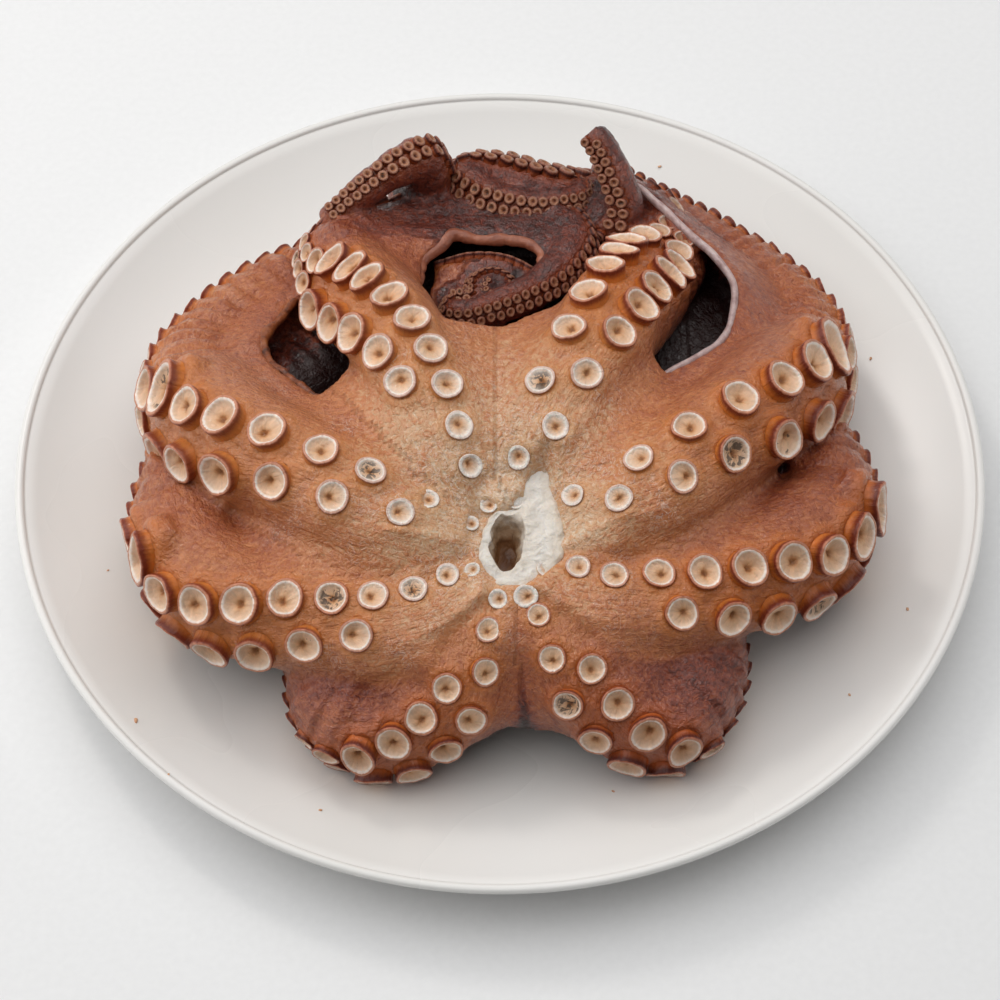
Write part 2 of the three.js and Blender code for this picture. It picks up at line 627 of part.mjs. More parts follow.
const plate = new THREE.Mesh(plateGeometry(), new THREE.MeshStandardMaterial({
  color: "#eceae6", roughness: 0.2, metalness: 0,
}));
plate.name = "plate";

const octopus = new THREE.Mesh(geometryOf(await octopusSolid()), new THREE.MeshStandardMaterial({
  color: "#b0683f", roughness: 0.35, metalness: 0,
}));
octopus.name = "octopus";

const group = new THREE.Group();
group.add(plate, octopus);

export default group;
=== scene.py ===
import math

import bpy
import numpy as np
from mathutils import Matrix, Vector


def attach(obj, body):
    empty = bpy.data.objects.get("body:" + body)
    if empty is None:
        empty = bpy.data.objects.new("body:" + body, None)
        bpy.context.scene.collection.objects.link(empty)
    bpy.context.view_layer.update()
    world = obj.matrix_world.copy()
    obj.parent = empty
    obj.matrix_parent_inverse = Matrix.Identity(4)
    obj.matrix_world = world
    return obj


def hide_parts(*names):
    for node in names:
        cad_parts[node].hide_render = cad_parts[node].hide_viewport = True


# A whole boiled octopus lying mouth up on a round white coupe plate.
#
# The skin is one surface: arms, webs and torn flaps follow named routes, are grown together
# and then smoothed. The suckers, the flesh round the mouth, the plate and the crumbs on it
# are pieces of their own. Lengths are millimetres until a mesh is made.

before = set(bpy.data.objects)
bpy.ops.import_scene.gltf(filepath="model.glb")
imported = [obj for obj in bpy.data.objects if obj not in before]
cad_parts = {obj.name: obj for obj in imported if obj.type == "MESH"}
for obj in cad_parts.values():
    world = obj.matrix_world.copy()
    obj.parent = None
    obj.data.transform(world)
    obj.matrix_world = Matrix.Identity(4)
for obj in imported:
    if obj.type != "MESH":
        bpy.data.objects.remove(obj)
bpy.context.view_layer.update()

MM = 0.001
SEED = 11

# ---- driving dimensions ------------------------------------------------------------

RIM_RADIUS = 160.0
RIM_HEIGHT = 24.0
LIP_THICKNESS = 3.0
FLAT_RADIUS = 104.0        # the nearly flat middle of the dish
FLAT_HEIGHT = 6.5
PLATE_WALL = 4.2
FOOT_RADIUS = 96.0
FOOT_WIDTH = 8.0
FOOT_HEIGHT = 2.2
CONTACT_GAP = 0.3          # between the octopus and the glaze it lies on

LIP_CENTRE, LIP_RADII = (2.0, -60.5, 53.0), (20.0, 18.0, 9.0)
# The head and body sac, folded away under the crown: centre and radii of each lobe.
LOBES = [[(0, -14, 31), (63, 57, 28)], [(3, -41, 54), (15, 12, 12)], [(-2, 66, 23), (54, 32, 15)],
         [(-62, 38, 19), (34, 32, 17)], [(60, 44, 19), (32, 40, 17)]]

# An arm's route is the midline between its two rows of suckers, out from the mouth.
# width, taper, tip, aspect: its breadth, how it thins and its depth as a share of its breadth;
# curls: the points that it curls round, each from a distance along it onwards;
# suckers: shoulder distance, widest cup, the fan's first cup and the last;
# rows: start, spacing at the mouth and at the shoulder, of the two rows;
# tone: how dark the skin has cooked, 0 cream to 1 purple-brown, at distances along the arm.
ARMS = {
    "back_left": {
        "route": [[-7, -48, 62], [-15, -37, 72], [-21, -19, 78], [-30, -1, 80], [-41, 15, 77],
                  [-52, 29, 70], [-61, 43, 62], [-65, 60, 56], [-53, 76, 50], [-34, 86, 47],
                  [-14, 90, 46], [7, 89, 46], [23, 83, 48], [31, 68, 52], [27, 54, 55],
                  [19, 44, 56], [9, 37, 57], [-2, 32, 57], [-11, 30, 56], [-18, 33, 54],
                  [-17, 40, 53]],
        "coil": {"centre": [-2, 46], "radius": [9, 2.5], "height": [52, 53],
                 "start": 3.5, "turns": -1.35},
        "width": 34, "taper": 0.85, "tip": 3.5, "aspect": 0.86,
        "curls": [[0, None], [150, [-18, 60, 34]], [290, [-3, 46, 46]]],
        "suckers": [100, 14.5, 7, 2], "rows": [[12, 15, 8.5], [46, 16, 13.5]],
        "tone": [[0, 0.05], [50, 0.26], [105, 0.42], [140, 0.66], [175, 0.78], [460, 0.8]],
    },
    "back_right": {
        "route": [[9, -42, 63], [11, -30, 73], [19, -12, 78], [28, 3, 80], [36, 20, 77],
                  [44, 36, 71], [52, 54, 61], [60, 72, 51], [60, 90, 42], [47, 99, 42],
                  [33, 99, 46], [17, 98, 50], [0, 102, 52], [-12, 102, 52], [-17, 96, 52],
                  [-11, 86, 54], [0, 80, 55], [12, 78, 55], [22, 80, 54], [30, 85, 52],
                  [31, 92, 50], [24, 97, 49]],
        "coil": {"centre": [16, 92], "radius": [5.5, 2.5], "height": [49, 47],
                 "start": 1.2, "turns": 1.2},
        "width": 35, "taper": 0.75, "tip": 4.5, "aspect": 0.86,
        "curls": [[0, None], [110, [44, 50, 20]], [170, [30, 78, 34]], [215, [8, 92, 38]]],
        "suckers": [105, 14.5, 8, 2], "rows": [[21, 24, 8], [9, 26, 8]],
        "tone": [[0, 0.05], [50, 0.3], [105, 0.5], [140, 0.7], [180, 0.76], [460, 0.76]],
    },
    "right": {
        "route": [[17, -54, 62], [33, -47, 70], [49, -42, 74], [65, -31, 73], [83, -19, 69],
                  [99, -4, 60], [110, 10, 48], [115, 28, 38], [112, 50, 32], [98, 72, 30],
                  [76, 91, 30], [52, 106, 33], [34, 115, 38]],
        "width": 39, "taper": 1.35, "tip": 8, "aspect": 0.94,
        "curls": [[0, None], [140, [45, 34, 24]]],
        "suckers": [118, 20, 10.6, 3.6], "rows": [[21, 19, 21], [9, 23, 13.6]],
        "tone": [[0, 0.1], [50, 0.36], [100, 0.48], [130, 0.44], [200, 0.48], [320, 0.66]],
    },
    "left": {
        "route": [[-9, -53, 63], [-26, -52, 70], [-48, -47, 74], [-66, -39, 73], [-85, -31, 69],
                  [-102, -17, 59], [-113, 0, 46], [-115, 22, 37], [-109, 41, 32], [-91, 64, 30],
                  [-69, 79, 29], [-49, 87, 28], [-30, 91, 30], [-21, 95, 42], [-19, 95, 59],
                  [-23, 91, 71], [-33, 84, 73], [-47, 76, 67], [-60, 69, 59]],
        "width": 39, "taper": 1.3, "tip": 8, "aspect": 0.94,
        "curls": [[0, None], [140, [-52, 30, 24]], [262, [-52, 60, 30]], [296, [-44, 84, 50]]],
        "suckers": [118, 20, 10.6, 3.2], "rows": [[34, 19, 14], [22, 21, 17.5]],
        "tone": [[0, 0.1], [50, 0.32], [120, 0.38], [200, 0.42], [262, 0.55], [300, 0.68],
                 [420, 0.74]],
    },
    "low_left": {
        "route": [[-7, -71, 60], [-21, -80, 59], [-39, -84, 57], [-59, -84, 53], [-76, -83, 48],
                  [-90, -79, 43], [-103, -69, 37], [-111, -53, 32], [-115, -35, 28],
                  [-113, -12, 24], [-97, 14, 20], [-72, 36, 19], [-43, 58, 18], [-20, 72, 18],
                  [6, 78, 18], [30, 72, 18]],
        "width": 37, "taper": 1.5, "tip": 20, "aspect": 0.9,
        "curls": [[0, None], [125, [-58, -36, 44]]],
        "suckers": [122, 21, 10, 2], "rows": [[8, 12.5, 15.5], [40, 17, 15.5]],
        "tone": [[0, 0.14], [50, 0.36], [120, 0.42], [200, 0.5], [340, 0.6]],
    },
    "low_right": {
        "route": [[12, -68, 60], [29, -76, 59], [47, -76, 57], [66, -75, 54], [83, -70, 49],
                  [99, -62, 43], [111, -51, 37], [118, -35, 31], [117, -13, 27], [109, 9, 23],
                  [94, 30, 20], [76, 54, 19], [60, 78, 20], [47, 96, 24], [36, 104, 29],
                  [31, 95, 36], [31, 77, 43], [36, 69, 50], [40, 73, 57], [37, 82, 64],
                  [33, 90, 69], [29, 96, 72]],
        "width": 37, "taper": 0.85, "tip": 10, "aspect": 0.9,
        "curls": [[0, None], [125, [60, -36, 44]], [318, [40, 92, 60]], [355, [60, 110, 40]]],
        "suckers": [122, 21, 10, 3.4], "rows": [[45, 15, 17.5], [11, 13.5, 15]],
        "tone": [[0, 0.2], [50, 0.42], [120, 0.5], [200, 0.6], [300, 0.76], [440, 0.76]],
    },
    "front_left": {
        "route": [[-5, -74, 58], [-9, -93, 53], [-11, -105, 44], [-18, -111, 36],
                  [-28, -115, 27], [-40, -116, 22], [-51, -112, 19], [-60, -104, 18],
                  [-64, -90, 18], [-63, -74, 18], [-55, -60, 18], [-50, -44, 18],
                  [-55, -24, 18], [-61, -4, 18]],
        "width": 33, "taper": 0.8, "tip": 14, "aspect": 0.9,
        "curls": [[0, None], [95, [-34, -80, 30]], [250, [-20, -20, 26]]],
        "suckers": [72, 13, 8, 2], "rows": [[34, 17, 12], [14, 14, 11]],
        "tone": [[0, 0.22], [40, 0.5], [90, 0.58], [260, 0.62]],
    },
    "front_right": {
        "route": [[11, -72, 58], [19, -90, 53], [24, -102, 45], [33, -110, 36], [43, -114, 28],
                  [53, -114, 23], [62, -110, 19], [69, -101, 18], [74, -88, 18], [74, -72, 18],
                  [66, -57, 18], [60, -40, 18], [63, -20, 18], [66, 0, 18], [62, 20, 18],
                  [50, 36, 18]],
        "width": 33, "taper": 0.8, "tip": 14, "aspect": 0.9,
        "curls": [[0, None], [95, [48, -80, 30]], [250, [20, -10, 26]]],
        "suckers": [72, 13, 8, 2], "rows": [[11, 14.5, 12], [32, 17, 13]],
        "tone": [[0, 0.26], [40, 0.56], [90, 0.66], [260, 0.68]],
    },
}

# Webs of skin join neighbouring arms. reach: how far along each arm the web goes; depth: where
# it leaves each flank at its free edge, as a share of the arm's depth; sag: of its middle.
WEBS = [
    {"arms": ["back_left", "back_right"], "reach": [68, 80], "depth": [0.3, 0.3], "sag": 6},
    {"arms": ["back_right", "right"], "reach": [76, 74], "depth": [0.4, 0.3], "sag": 7},
    {"arms": ["right", "low_right"], "reach": [116, 108], "depth": [0.8, 0.34], "sag": 3},
    {"arms": ["low_right", "front_right"], "reach": [92, 88], "depth": [0.6, 0.3], "sag": 3},
    {"arms": ["front_right", "front_left"], "reach": [52, 50], "depth": [0.3, 0.3], "sag": 4},
    {"arms": ["front_left", "low_left"], "reach": [84, 92], "depth": [0.3, 0.6], "sag": 3},
    {"arms": ["low_left", "left"], "reach": [108, 116], "depth": [0.34, 0.8], "sag": 3},
    {"arms": ["left", "back_left"], "reach": [84, 80], "depth": [0.3, 0.4], "sag": 7},
]
WEB_THICKNESS = 6.0
WEB_CROWN_DEPTH = 0.1
WEB_GATHER = 0.14

# Flaps of torn web, each from one flank of an arm to its free edge.
# roll: how thick the free edge is, from a cut sheet to a rolled lip.
FLAPS = {
    "ring_lip": {
        "arm": "back_left", "from": 72, "to": 256, "side": 1, "roll": 4.6,
        "edge": [[-27, 40, 59], [-27, 48, 57], [-25, 55, 56], [-20, 60, 56], [-16, 65, 56],
                 [-7, 64, 55], [2, 64, 55], [10, 62, 55], [14, 57, 55], [13, 51, 55]],
    },
    "cut_sheet": {
        "arm": "right", "from": 78, "to": 286, "side": -1, "roll": 2.8,
        "edge": [[46, -3, 60], [54, 3, 62], [63, 9, 62], [72, 18, 60], [76, 30, 58], [77, 43, 57],
                 [72, 55, 56], [63, 66, 56], [54, 79, 55], [45, 90, 54]],
    },
    "ragged_sheet": {
        "arm": "left", "from": 82, "to": 226, "side": 1, "roll": 2.4,
        "edge": [[-50, -10, 61], [-60, -5, 62], [-68, 3, 60], [-75, 13, 56], [-77, 24, 52],
                 [-73, 35, 48], [-68, 46, 45], [-62, 62, 38]],
    },
}
# A small fan of web folded inside the ring, between its lower line and its scalloped top.
INNER_FAN = {"lower": [[-26, 36, 47], [-12, 34, 47], [4, 40, 46], [14, 46, 46]],
             "upper": [[-21, 57, 49], [-10, 59, 51], [2, 58, 51], [13, 53, 49]],
             "thickness": 3.0, "cups": 11, "cup_size": 4.6}
FLAP_THICKNESS = 3.4

SKIN_GRAIN = 1.54          # size of the skin's own faces
RING_STEP = 2.0            # between the rings of points along an arm
RING_POINTS = 36
SKIN_SMOOTHING = 5         # passes of smoothing after the arms are grown together
ARM_SQUARENESS = 2.35      # of an arm's section: 2 is an ellipse, more is squarer
PLATE_SIDES = 224
BLOCK = 8000               # points compared with every arm or cup at a time
RIDGE_HEIGHT = 1.2         # of the folds that run in from the cups of a fan
PROUD_CUP = 14.0           # wider cups than this stand no prouder
# How proud the cups stand at the mouth, along an arm and, as a share of that, in a fan.
RISE_AT_MOUTH, RISE_ON_ARM, RISE_IN_FAN = 0.62, 1.35, 0.8
SMALL_CUP_RISE = 0.6       # of the small cups round the mouth
FLUSH_REACH, FLUSH_FADE = 45.0, 40.0    # how far from the mouth the cups lie flush on the skin
FLUSH_TURN = 0.75          # how much of the skin's own slope such a cup takes on
ROW_SPLAY = 0.38           # radians by which a row of cups leans away from the midline
FAN_SPLAY = 0.08           # the same in a fan
FAN_SHINGLE = 0.2          # how far a fan's cups lean back, one over the next
COLLAR_HEIGHT = 0.10       # of the skin that swells up round a cup, as a share of its breadth
COLLAR_AT, COLLAR_BREADTH = 0.56, 0.17    # in cup breadths from the cup's middle
MOUTH_DEPTH = 15.0
TORN_BED = 3.0             # how deep the torn flesh is bedded in the skin
CROWN_LEVEL = 45.0         # skin above this belongs to the crown's upper face
# Painted shade in enclosed hollows: the skin's tone is darkened from how deep, over what further depth,
# and below what level.
HOLLOW_SHADE_FROM, HOLLOW_SHADE_OVER, HOLLOW_SHADE_BELOW = 7.0, 14.0, 58.0
# Specks of boiled skin on the dish: where they lie, and how long they are.
CRUMBS = [(-113.0, -100.0, 1.9), (-101.0, -121.0, 1.3), (58.0, 131.0, 1.5), (128.0, 46.0, 1.6),
          (131.0, -57.0, 1.4), (-66.0, 98.0, 1.6), (-118.0, 60.0, 1.2), (35.0, -119.0, 1.1),
          (-55.0, -128.0, 1.2), (96.0, 93.0, 1.0), (-128.0, -40.0, 1.0), (110.0, -88.0, 1.2)]
# The small cups round the mouth: where they sit, and their diameter.
MOUTH_CUPS = [(-3.4, -48.0, 62.0, 5.6), (4.6, -46.6, 62.0, 5.4), (-9.5, -54.5, 63.0, 5.4),
              (-20.0, -51.0, 64.0, 7.0), (-9.0, -70.5, 61.5, 4.8), (15.5, -69.5, 61.5, 6.2),
              (8.2, -79.5, 60.0, 7.4), (-0.8, -80.5, 60.0, 6.0)]
# The mouth's well and the torn flesh beside it, seen from above: a centre, and its radius at
# angles from the right, anticlockwise. The flesh is drawn out to the back where a wedge of
# pale web has come away.
MOUTH_WELL = ((2.3, -60.0), [(0, 4.2), (35, 6.0), (70, 8.6), (110, 8.4), (150, 5.6), (180, 4.9),
                             (230, 7.4), (262, 9.6), (285, 9.0), (320, 5.6)])
TORN_FLESH = ((4.9, -59.6), [(0, 14.8), (39, 17.4), (60, 23.0), (71, 35.0), (76, 29.0), (82, 17.5),
                             (100, 10.8), (130, 11.0), (180, 10.2), (229, 15.4), (270, 16.6),
                             (306, 15.6), (335, 15.0)])


# ---- numbers -----------------------------------------------------------------------

def clamp01(x):
    return np.clip(x, 0.0, 1.0)


def smooth(x):
    """0 to 1 as x goes from 0 to 1, with level ends."""
    x = clamp01(x)
    return x * x * (3 - 2 * x)


def mix(a, b, t):
    return a + (b - a) * t


def unit(v):
    return v / np.maximum(np.linalg.norm(v, axis=-1, keepdims=True), 1e-9)


def lattice(cells, salt):
    """A repeatable number from 0 to 1 for each whole-number cell: its coordinates hashed."""
    x, y, z = (cells[..., k].astype(np.int64) for k in range(3))
    n = (x * 374761393 + y * 668265263 + z * 2147483647 + salt * 1274126177) & 0xFFFFFFFF
    n = ((n ^ (n >> 13)) * 1274126177) & 0xFFFFFFFF
    return ((n ^ (n >> 16)) & 0xFFFFFF) / float(0xFFFFFF)


def lumps(points, size, salt=0):
    """Smooth noise from -1 to 1: the eight corners of each cell, blended with level ends."""
    scaled = np.asarray(points, float) / size
    cell = np.floor(scaled)
    t = scaled - cell
    t = t * t * (3 - 2 * t)
    total = np.zeros(scaled.shape[:-1])
    for corner in np.ndindex(2, 2, 2):
        weight = np.prod(np.where(np.array(corner) == 1, t, 1 - t), axis=-1)
        total += weight * lattice(cell + np.array(corner), salt)
    return total * 2 - 1


def through(waypoints, per_span=24):
    """A smooth line through the waypoints: centripetal Catmull-Rom, sampled evenly by span."""
    p = np.asarray(waypoints, float)
    ends = np.vstack([2 * p[0] - p[1], p, 2 * p[-1] - p[-2]])
    p0, p1, p2, p3 = ends[:-3], ends[1:-2], ends[2:-1], ends[3:]
    d0, d1, d2 = (np.maximum(np.sqrt(np.linalg.norm(b - a, axis=1)), 1e-3)[:, None]
                  for a, b in ((p0, p1), (p1, p2), (p2, p3)))
    t1 = ((p1 - p0) / d0 - (p2 - p0) / (d0 + d1) + (p2 - p1) / d1) * d1
    t2 = ((p2 - p1) / d1 - (p3 - p1) / (d1 + d2) + (p3 - p2) / d2) * d1
    w = np.linspace(0, 1, per_span, endpoint=False)[None, :, None]
    a, b, c, d = (v[:, None, :] for v in
                  (p1, t1, -3 * p1 + 3 * p2 - 2 * t1 - t2, 2 * p1 - 2 * p2 + t1 + t2))
    line = (a + b * w + c * w ** 2 + d * w ** 3).reshape(-1, 3)
    return np.vstack([line, p[-1:]])


class Line:
    """A smooth line in space, read by its distance along itself."""

    def __init__(self, waypoints):
        self.points = through(waypoints)
        steps = np.linalg.norm(np.diff(self.points, axis=0), axis=1)
        self.at = np.concatenate([[0.0], np.cumsum(steps)])
        self.length = self.at[-1]

    def point(self, s):
        s = np.clip(s, 0, self.length)
        return np.stack([np.interp(s, self.at, self.points[:, k]) for k in range(3)], -1)

    def along(self, s):
        return unit(self.point(np.clip(s + 0.6, 0, self.length))
                    - self.point(np.clip(s - 0.6, 0, self.length)))


# ---- arms --------------------------------------------------------------------------

def spiral_points(coil):
    """A flat spiral from the outer radius in to the inner one."""
    steps = math.ceil(abs(coil["turns"]) * 9)
    t = np.arange(steps + 1) / steps
    radius = mix(coil["radius"][0], coil["radius"][1], t ** 0.8)
    angle = coil["start"] + coil["turns"] * 2 * np.pi * t
    return np.stack([coil["centre"][0] + radius * np.cos(angle),
                     coil["centre"][1] + radius * np.sin(angle),
                     mix(coil["height"][0], coil["height"][1], t)], -1)


class Arm:
    """An arm's midline, and its breadth, facing and cups at any distance from the mouth."""

    def __init__(self, spec):
        self.spec = spec
        waypoints = np.array(spec["route"], float)
        if "coil" in spec:
            waypoints = np.vstack([waypoints, spiral_points(spec["coil"])])
        self.line = Line(waypoints)
        self.length = self.line.length

    def width(self, s):
        spec = self.spec
        rise = mix(0.6, 1, smooth(s / 45))
        thin = clamp01((s - 110) / (self.length - 110)) ** spec["taper"]
        return mix(spec["width"], spec["tip"], thin) * rise

    def facing(self, s, point):
        """The way the suckers face: up over the crown, then away from what the arm curls round."""
        def away(centre):
            if centre is None:
                return np.broadcast_to(np.array([0.0, 0.0, 1.0]), point.shape)
            return unit(point - np.array(centre, float))

        curls = self.spec["curls"]
        facing = np.array(away(curls[0][1]))
        for k in range(1, len(curls)):
            span = curls[1][0] if k == 1 else min(40, curls[k][0] - curls[k - 1][0])
            t = smooth((s - (curls[k][0] - span)) / span)[..., None]
            facing = unit(mix(facing, away(curls[k][1]), t))
        return facing

    def frame(self, s):
        """Point, along, facing, across, width and depth at each distance."""
        s = np.clip(np.atleast_1d(np.asarray(s, float)), 0, self.length)
        point, along = self.line.point(s), self.line.along(s)
        facing = self.facing(s, point)
        facing = unit(facing - along * (facing * along).sum(-1, keepdims=True))
        across = np.cross(along, facing)
        width = self.width(s)
        return point, along, facing, across, width, width * self.spec["aspect"]

    def cup_size(self, s):
        """Diameter of the cups: growing to the shoulder, then smaller to the tip."""
        shoulder, peak, fan, end = self.spec["suckers"]
        near = mix(6, min(13.5, peak), clamp01(s / 80) ** 0.75)
        near = mix(near, peak, smooth((s - shoulder + 20) / 20))
        fallen = mix(peak, fan, smooth((s - shoulder) / 24))
        beyond = mix(fallen, end, clamp01((s - shoulder - 20) / (self.length - shoulder - 20)))
        return np.where(s <= shoulder, near, beyond)

    def seat(self, s, side):
        """Where a row's cups sit at each distance; side is 1 or -1."""
        point, _, facing, across, width, depth = self.frame(s)
        size = self.cup_size(s)
        crowding = smooth((s - self.spec["suckers"][0]) / 20)
        spread = np.minimum(size * mix(0.54, 0.46, crowding), width * 0.3)
        sink = depth / 2 * (1 - np.sqrt(1 - (2 * spread / width) ** 2))
        return point + across * (spread * side)[:, None] - facing * sink[:, None]

    def cup_places(self, row):
        """Distances of one row's cups: spaced on the crown, side by side in the fan."""
        start, near, far = self.spec["rows"][row]
        shoulder = self.spec["suckers"][0]
        at = np.arange(0, self.length, 0.5)
        seats = self.seat(at, (1, -1)[row])
        stretch = np.linalg.norm(np.diff(seats, axis=0), axis=1) / 0.5
        places, s = [], float(start)
        while s < self.length - 2:
            places.append(s)
            crown = mix(near, far, float(clamp01(s / shoulder)))
            open_out = float(np.clip(np.interp(s, at[:-1] + 0.25, stretch), 0.45, 2.0))
            fan = float(self.cup_size(s)) * 0.93 / open_out
            s += mix(crown, fan, float(smooth((s - shoulder + 6) / 14)))
        return np.array(places)

    def tone(self, s):
        at, value = np.array(self.spec["tone"], float).T
        return np.interp(s, at, value)


arms = {name: Arm(spec) for name, spec in ARMS.items()}


# ---- shells of points --------------------------------------------------------------

def grid_faces(rows, columns, closed, start=0):
    """The four-sided faces of a grid of points, its columns closed into rings or not."""
    r = np.arange(rows - 1)[:, None]
    c = np.arange(columns if closed else columns - 1)[None, :]
    n = (c + 1) % columns
    faces = np.stack([r * columns + c, r * columns + n,
                      (r + 1) * columns + n, (r + 1) * columns + c], -1)
    return faces.reshape(-1, 4) + start


def tube(rings):
    """A closed tube through rings of points: the rings, and a point at each end's middle."""
    rows, columns = rings.shape[:2]
    points = np.vstack([rings.reshape(-1, 3), rings[0].mean(0), rings[-1].mean(0)])
    c = np.arange(columns)
    n = (c + 1) % columns
    first, last = rows * columns, rows * columns + 1
    start = np.stack([n, c, np.full(columns, first), np.full(columns, first)], -1)
    base = (rows - 1) * columns
    end = np.stack([base + c, base + n, np.full(columns, last), np.full(columns, last)], -1)
    return points, np.vstack([grid_faces(rows, columns, True), start, end])


def slab(middle, half):
    """A closed sheet with thickness: a grid of points moved by half its thickness both ways."""
    rows, columns = middle.shape[:2]
    loops = np.concatenate([middle + half, (middle - half)[:, ::-1]], axis=1)
    return tube(loops)


def ellipsoid(centre, radii, rows=24, columns=36):
    """Rings of points between two poles, scaled by the three radii."""
    v = np.linspace(0.02, np.pi - 0.02, rows)[:, None]
    u = np.linspace(0, 2 * np.pi, columns, endpoint=False)[None, :]
    ball = np.stack([np.sin(v) * np.cos(u), np.sin(v) * np.sin(u),
                     np.cos(v) * np.ones_like(u)], -1)
    return tube(ball * np.array(radii) + np.array(centre))


def joined(shells):
    """Several shells' points and faces as one."""
    points, faces, count = [], [], 0
    for shell_points, shell_faces in shells:
        points.append(shell_points)
        faces.append(shell_faces + count)
        count += len(shell_points)
    return np.vstack(points), np.vstack(faces)


def new_mesh(name, points, faces):
    """A mesh object from points in millimetres. A face whose last two corners agree is a triangle."""
    mesh = bpy.data.meshes.new(name)
    triangle = faces[:, 2] == faces[:, 3]
    sizes = np.where(triangle, 3, 4)
    keep = np.ones(faces.shape, bool)
    keep[triangle, 3] = False
    corners = faces[keep]
    mesh.vertices.add(len(points))
    mesh.vertices.foreach_set("co", (np.asarray(points) * MM).astype(np.float32).ravel())
    mesh.loops.add(len(corners))
    mesh.loops.foreach_set("vertex_index", corners.astype(np.int32))
    mesh.polygons.add(len(faces))
    starts = np.concatenate([[0], np.cumsum(sizes)[:-1]])
    mesh.polygons.foreach_set("loop_start", starts.astype(np.int32))
    mesh.polygons.foreach_set("use_smooth", np.ones(len(faces), bool))
    mesh.update(calc_edges=True)
    mesh.validate()
    piece = bpy.data.objects.new(name, mesh)
    bpy.context.scene.collection.objects.link(piece)
    return piece


def add_attribute(piece, name, values):
    """A number, or three, for each point of the mesh."""
    values = np.asarray(values, np.float32)
    kind = "FLOAT" if values.ndim == 1 else "FLOAT_VECTOR"
    attribute = piece.data.attributes.new(name, kind, "POINT")
    attribute.data.foreach_set("value" if values.ndim == 1 else "vector", values.ravel())


def points_of(mesh):
    flat = np.empty(len(mesh.vertices) * 3, np.float32)
    mesh.vertices.foreach_get("co", flat)
    return flat.reshape(-1, 3).astype(float) / MM


def finished(piece, *modifiers):
    """The piece with these modifiers worked into its mesh."""
    for kind, settings in modifiers:
        modifier = piece.modifiers.new(kind.lower(), kind)
        for setting, value in settings.items():
            setattr(modifier, setting, value)
    graph = bpy.context.evaluated_depsgraph_get()
    done = bpy.data.meshes.new_from_object(piece.evaluated_get(graph))
    piece.modifiers.clear()
    old, piece.data = piece.data, done
    bpy.data.meshes.remove(old)
    return piece


# ---- the plate ---------------------------------------------------------------------

def dish_height(radius):
    """The dish's upper surface: flat, then rising as the square of the way out to the rim."""
    run = RIM_RADIUS - LIP_THICKNESS / 2 - FLAT_RADIUS
    climb = clamp01((radius - FLAT_RADIUS) / run) ** 2
    return FLAT_HEIGHT + (RIM_HEIGHT - FLAT_HEIGHT) * climb


def build_plate():
    """A turned profile carried round the axis: foot, underside, rounded lip and dish."""
    under_r = np.linspace(FOOT_RADIUS + 7, RIM_RADIUS - 3, 22)
    under_z = np.maximum(dish_height(under_r - 2) - PLATE_WALL, FOOT_HEIGHT)
    lip_angle = np.linspace(-0.35 * np.pi, np.pi, 14)
    lip_r = RIM_RADIUS - LIP_THICKNESS / 2 + LIP_THICKNESS / 2 * np.cos(lip_angle)
    lip_z = RIM_HEIGHT - 1.3 + 1.3 * np.sin(lip_angle)
    dish_r = np.linspace(RIM_RADIUS - LIP_THICKNESS - 0.6, 0.5, 46)
    dish_z = dish_height(dish_r)
    foot = [[0.5, FOOT_HEIGHT], [FOOT_RADIUS - FOOT_WIDTH - 4, FOOT_HEIGHT],
            [FOOT_RADIUS - FOOT_WIDTH - 2, 1.4], [FOOT_RADIUS - FOOT_WIDTH, 0.3],
            [FOOT_RADIUS - FOOT_WIDTH + 1, 0], [FOOT_RADIUS - 1, 0], [FOOT_RADIUS, 0.3],
            [FOOT_RADIUS + 2, 1.5]]
    profile = np.vstack([foot, np.stack([under_r, under_z], -1),
                         np.stack([lip_r, lip_z], -1), np.stack([dish_r, dish_z], -1)])
    turn = np.linspace(0, 2 * np.pi, PLATE_SIDES, endpoint=False)
    rings = np.stack([profile[:, :1] * np.cos(turn), profile[:, :1] * np.sin(turn),
                      profile[:, 1:] * np.ones_like(turn)], -1)
    return new_mesh("plate_glazed", *tube(rings))


def build_crumbs():
    """Specks of boiled skin lying on the dish: each a flat lump with its own turn and size."""
    chance = np.random.default_rng(SEED + 5)
    shells = []
    for x, y, size in CRUMBS:
        height = float(dish_height(math.hypot(x, y))) + 0.12 * size
        radii = size * np.array([0.5, 0.32, 0.14])
        lump, faces = ellipsoid((0, 0, 0), radii, 6, 10)
        turn = chance.uniform(0, math.pi)
        lump[:, :2] = lump[:, :2] @ np.array([[math.cos(turn), math.sin(turn)],
                                              [-math.sin(turn), math.cos(turn)]])
        lump = lump * (1 + 0.3 * lumps(lump + 50 * len(shells), 0.6)[:, None])
        shells.append((lump + np.array([x, y, height + 0.05 * size]), faces))
    return new_mesh("plate_crumbs", *joined(shells))


# ---- the skin ----------------------------------------------------------------------

def section_rings(arm, s):
    """Rings round an arm: rounded ovals that hang from the face with the suckers."""
    point, _, facing, across, width, depth = (v[:, None] for v in arm.frame(s))
    angle = (np.arange(RING_POINTS) / RING_POINTS * 2 * np.pi)[None, :]
    power = 2 / ARM_SQUARENESS
    wide = np.sign(np.cos(angle)) * np.abs(np.cos(angle)) ** power * width / 2
    deep = (np.sign(np.sin(angle)) * np.abs(np.sin(angle)) ** power - 1) * depth / 2
    return point + across * wide[..., None] + facing * deep[..., None]


def arm_shell(arm):
    s = np.append(np.arange(0, arm.length, RING_STEP), arm.length)
    rings = section_rings(arm, s)
    return tube(rings[:, ::-1])


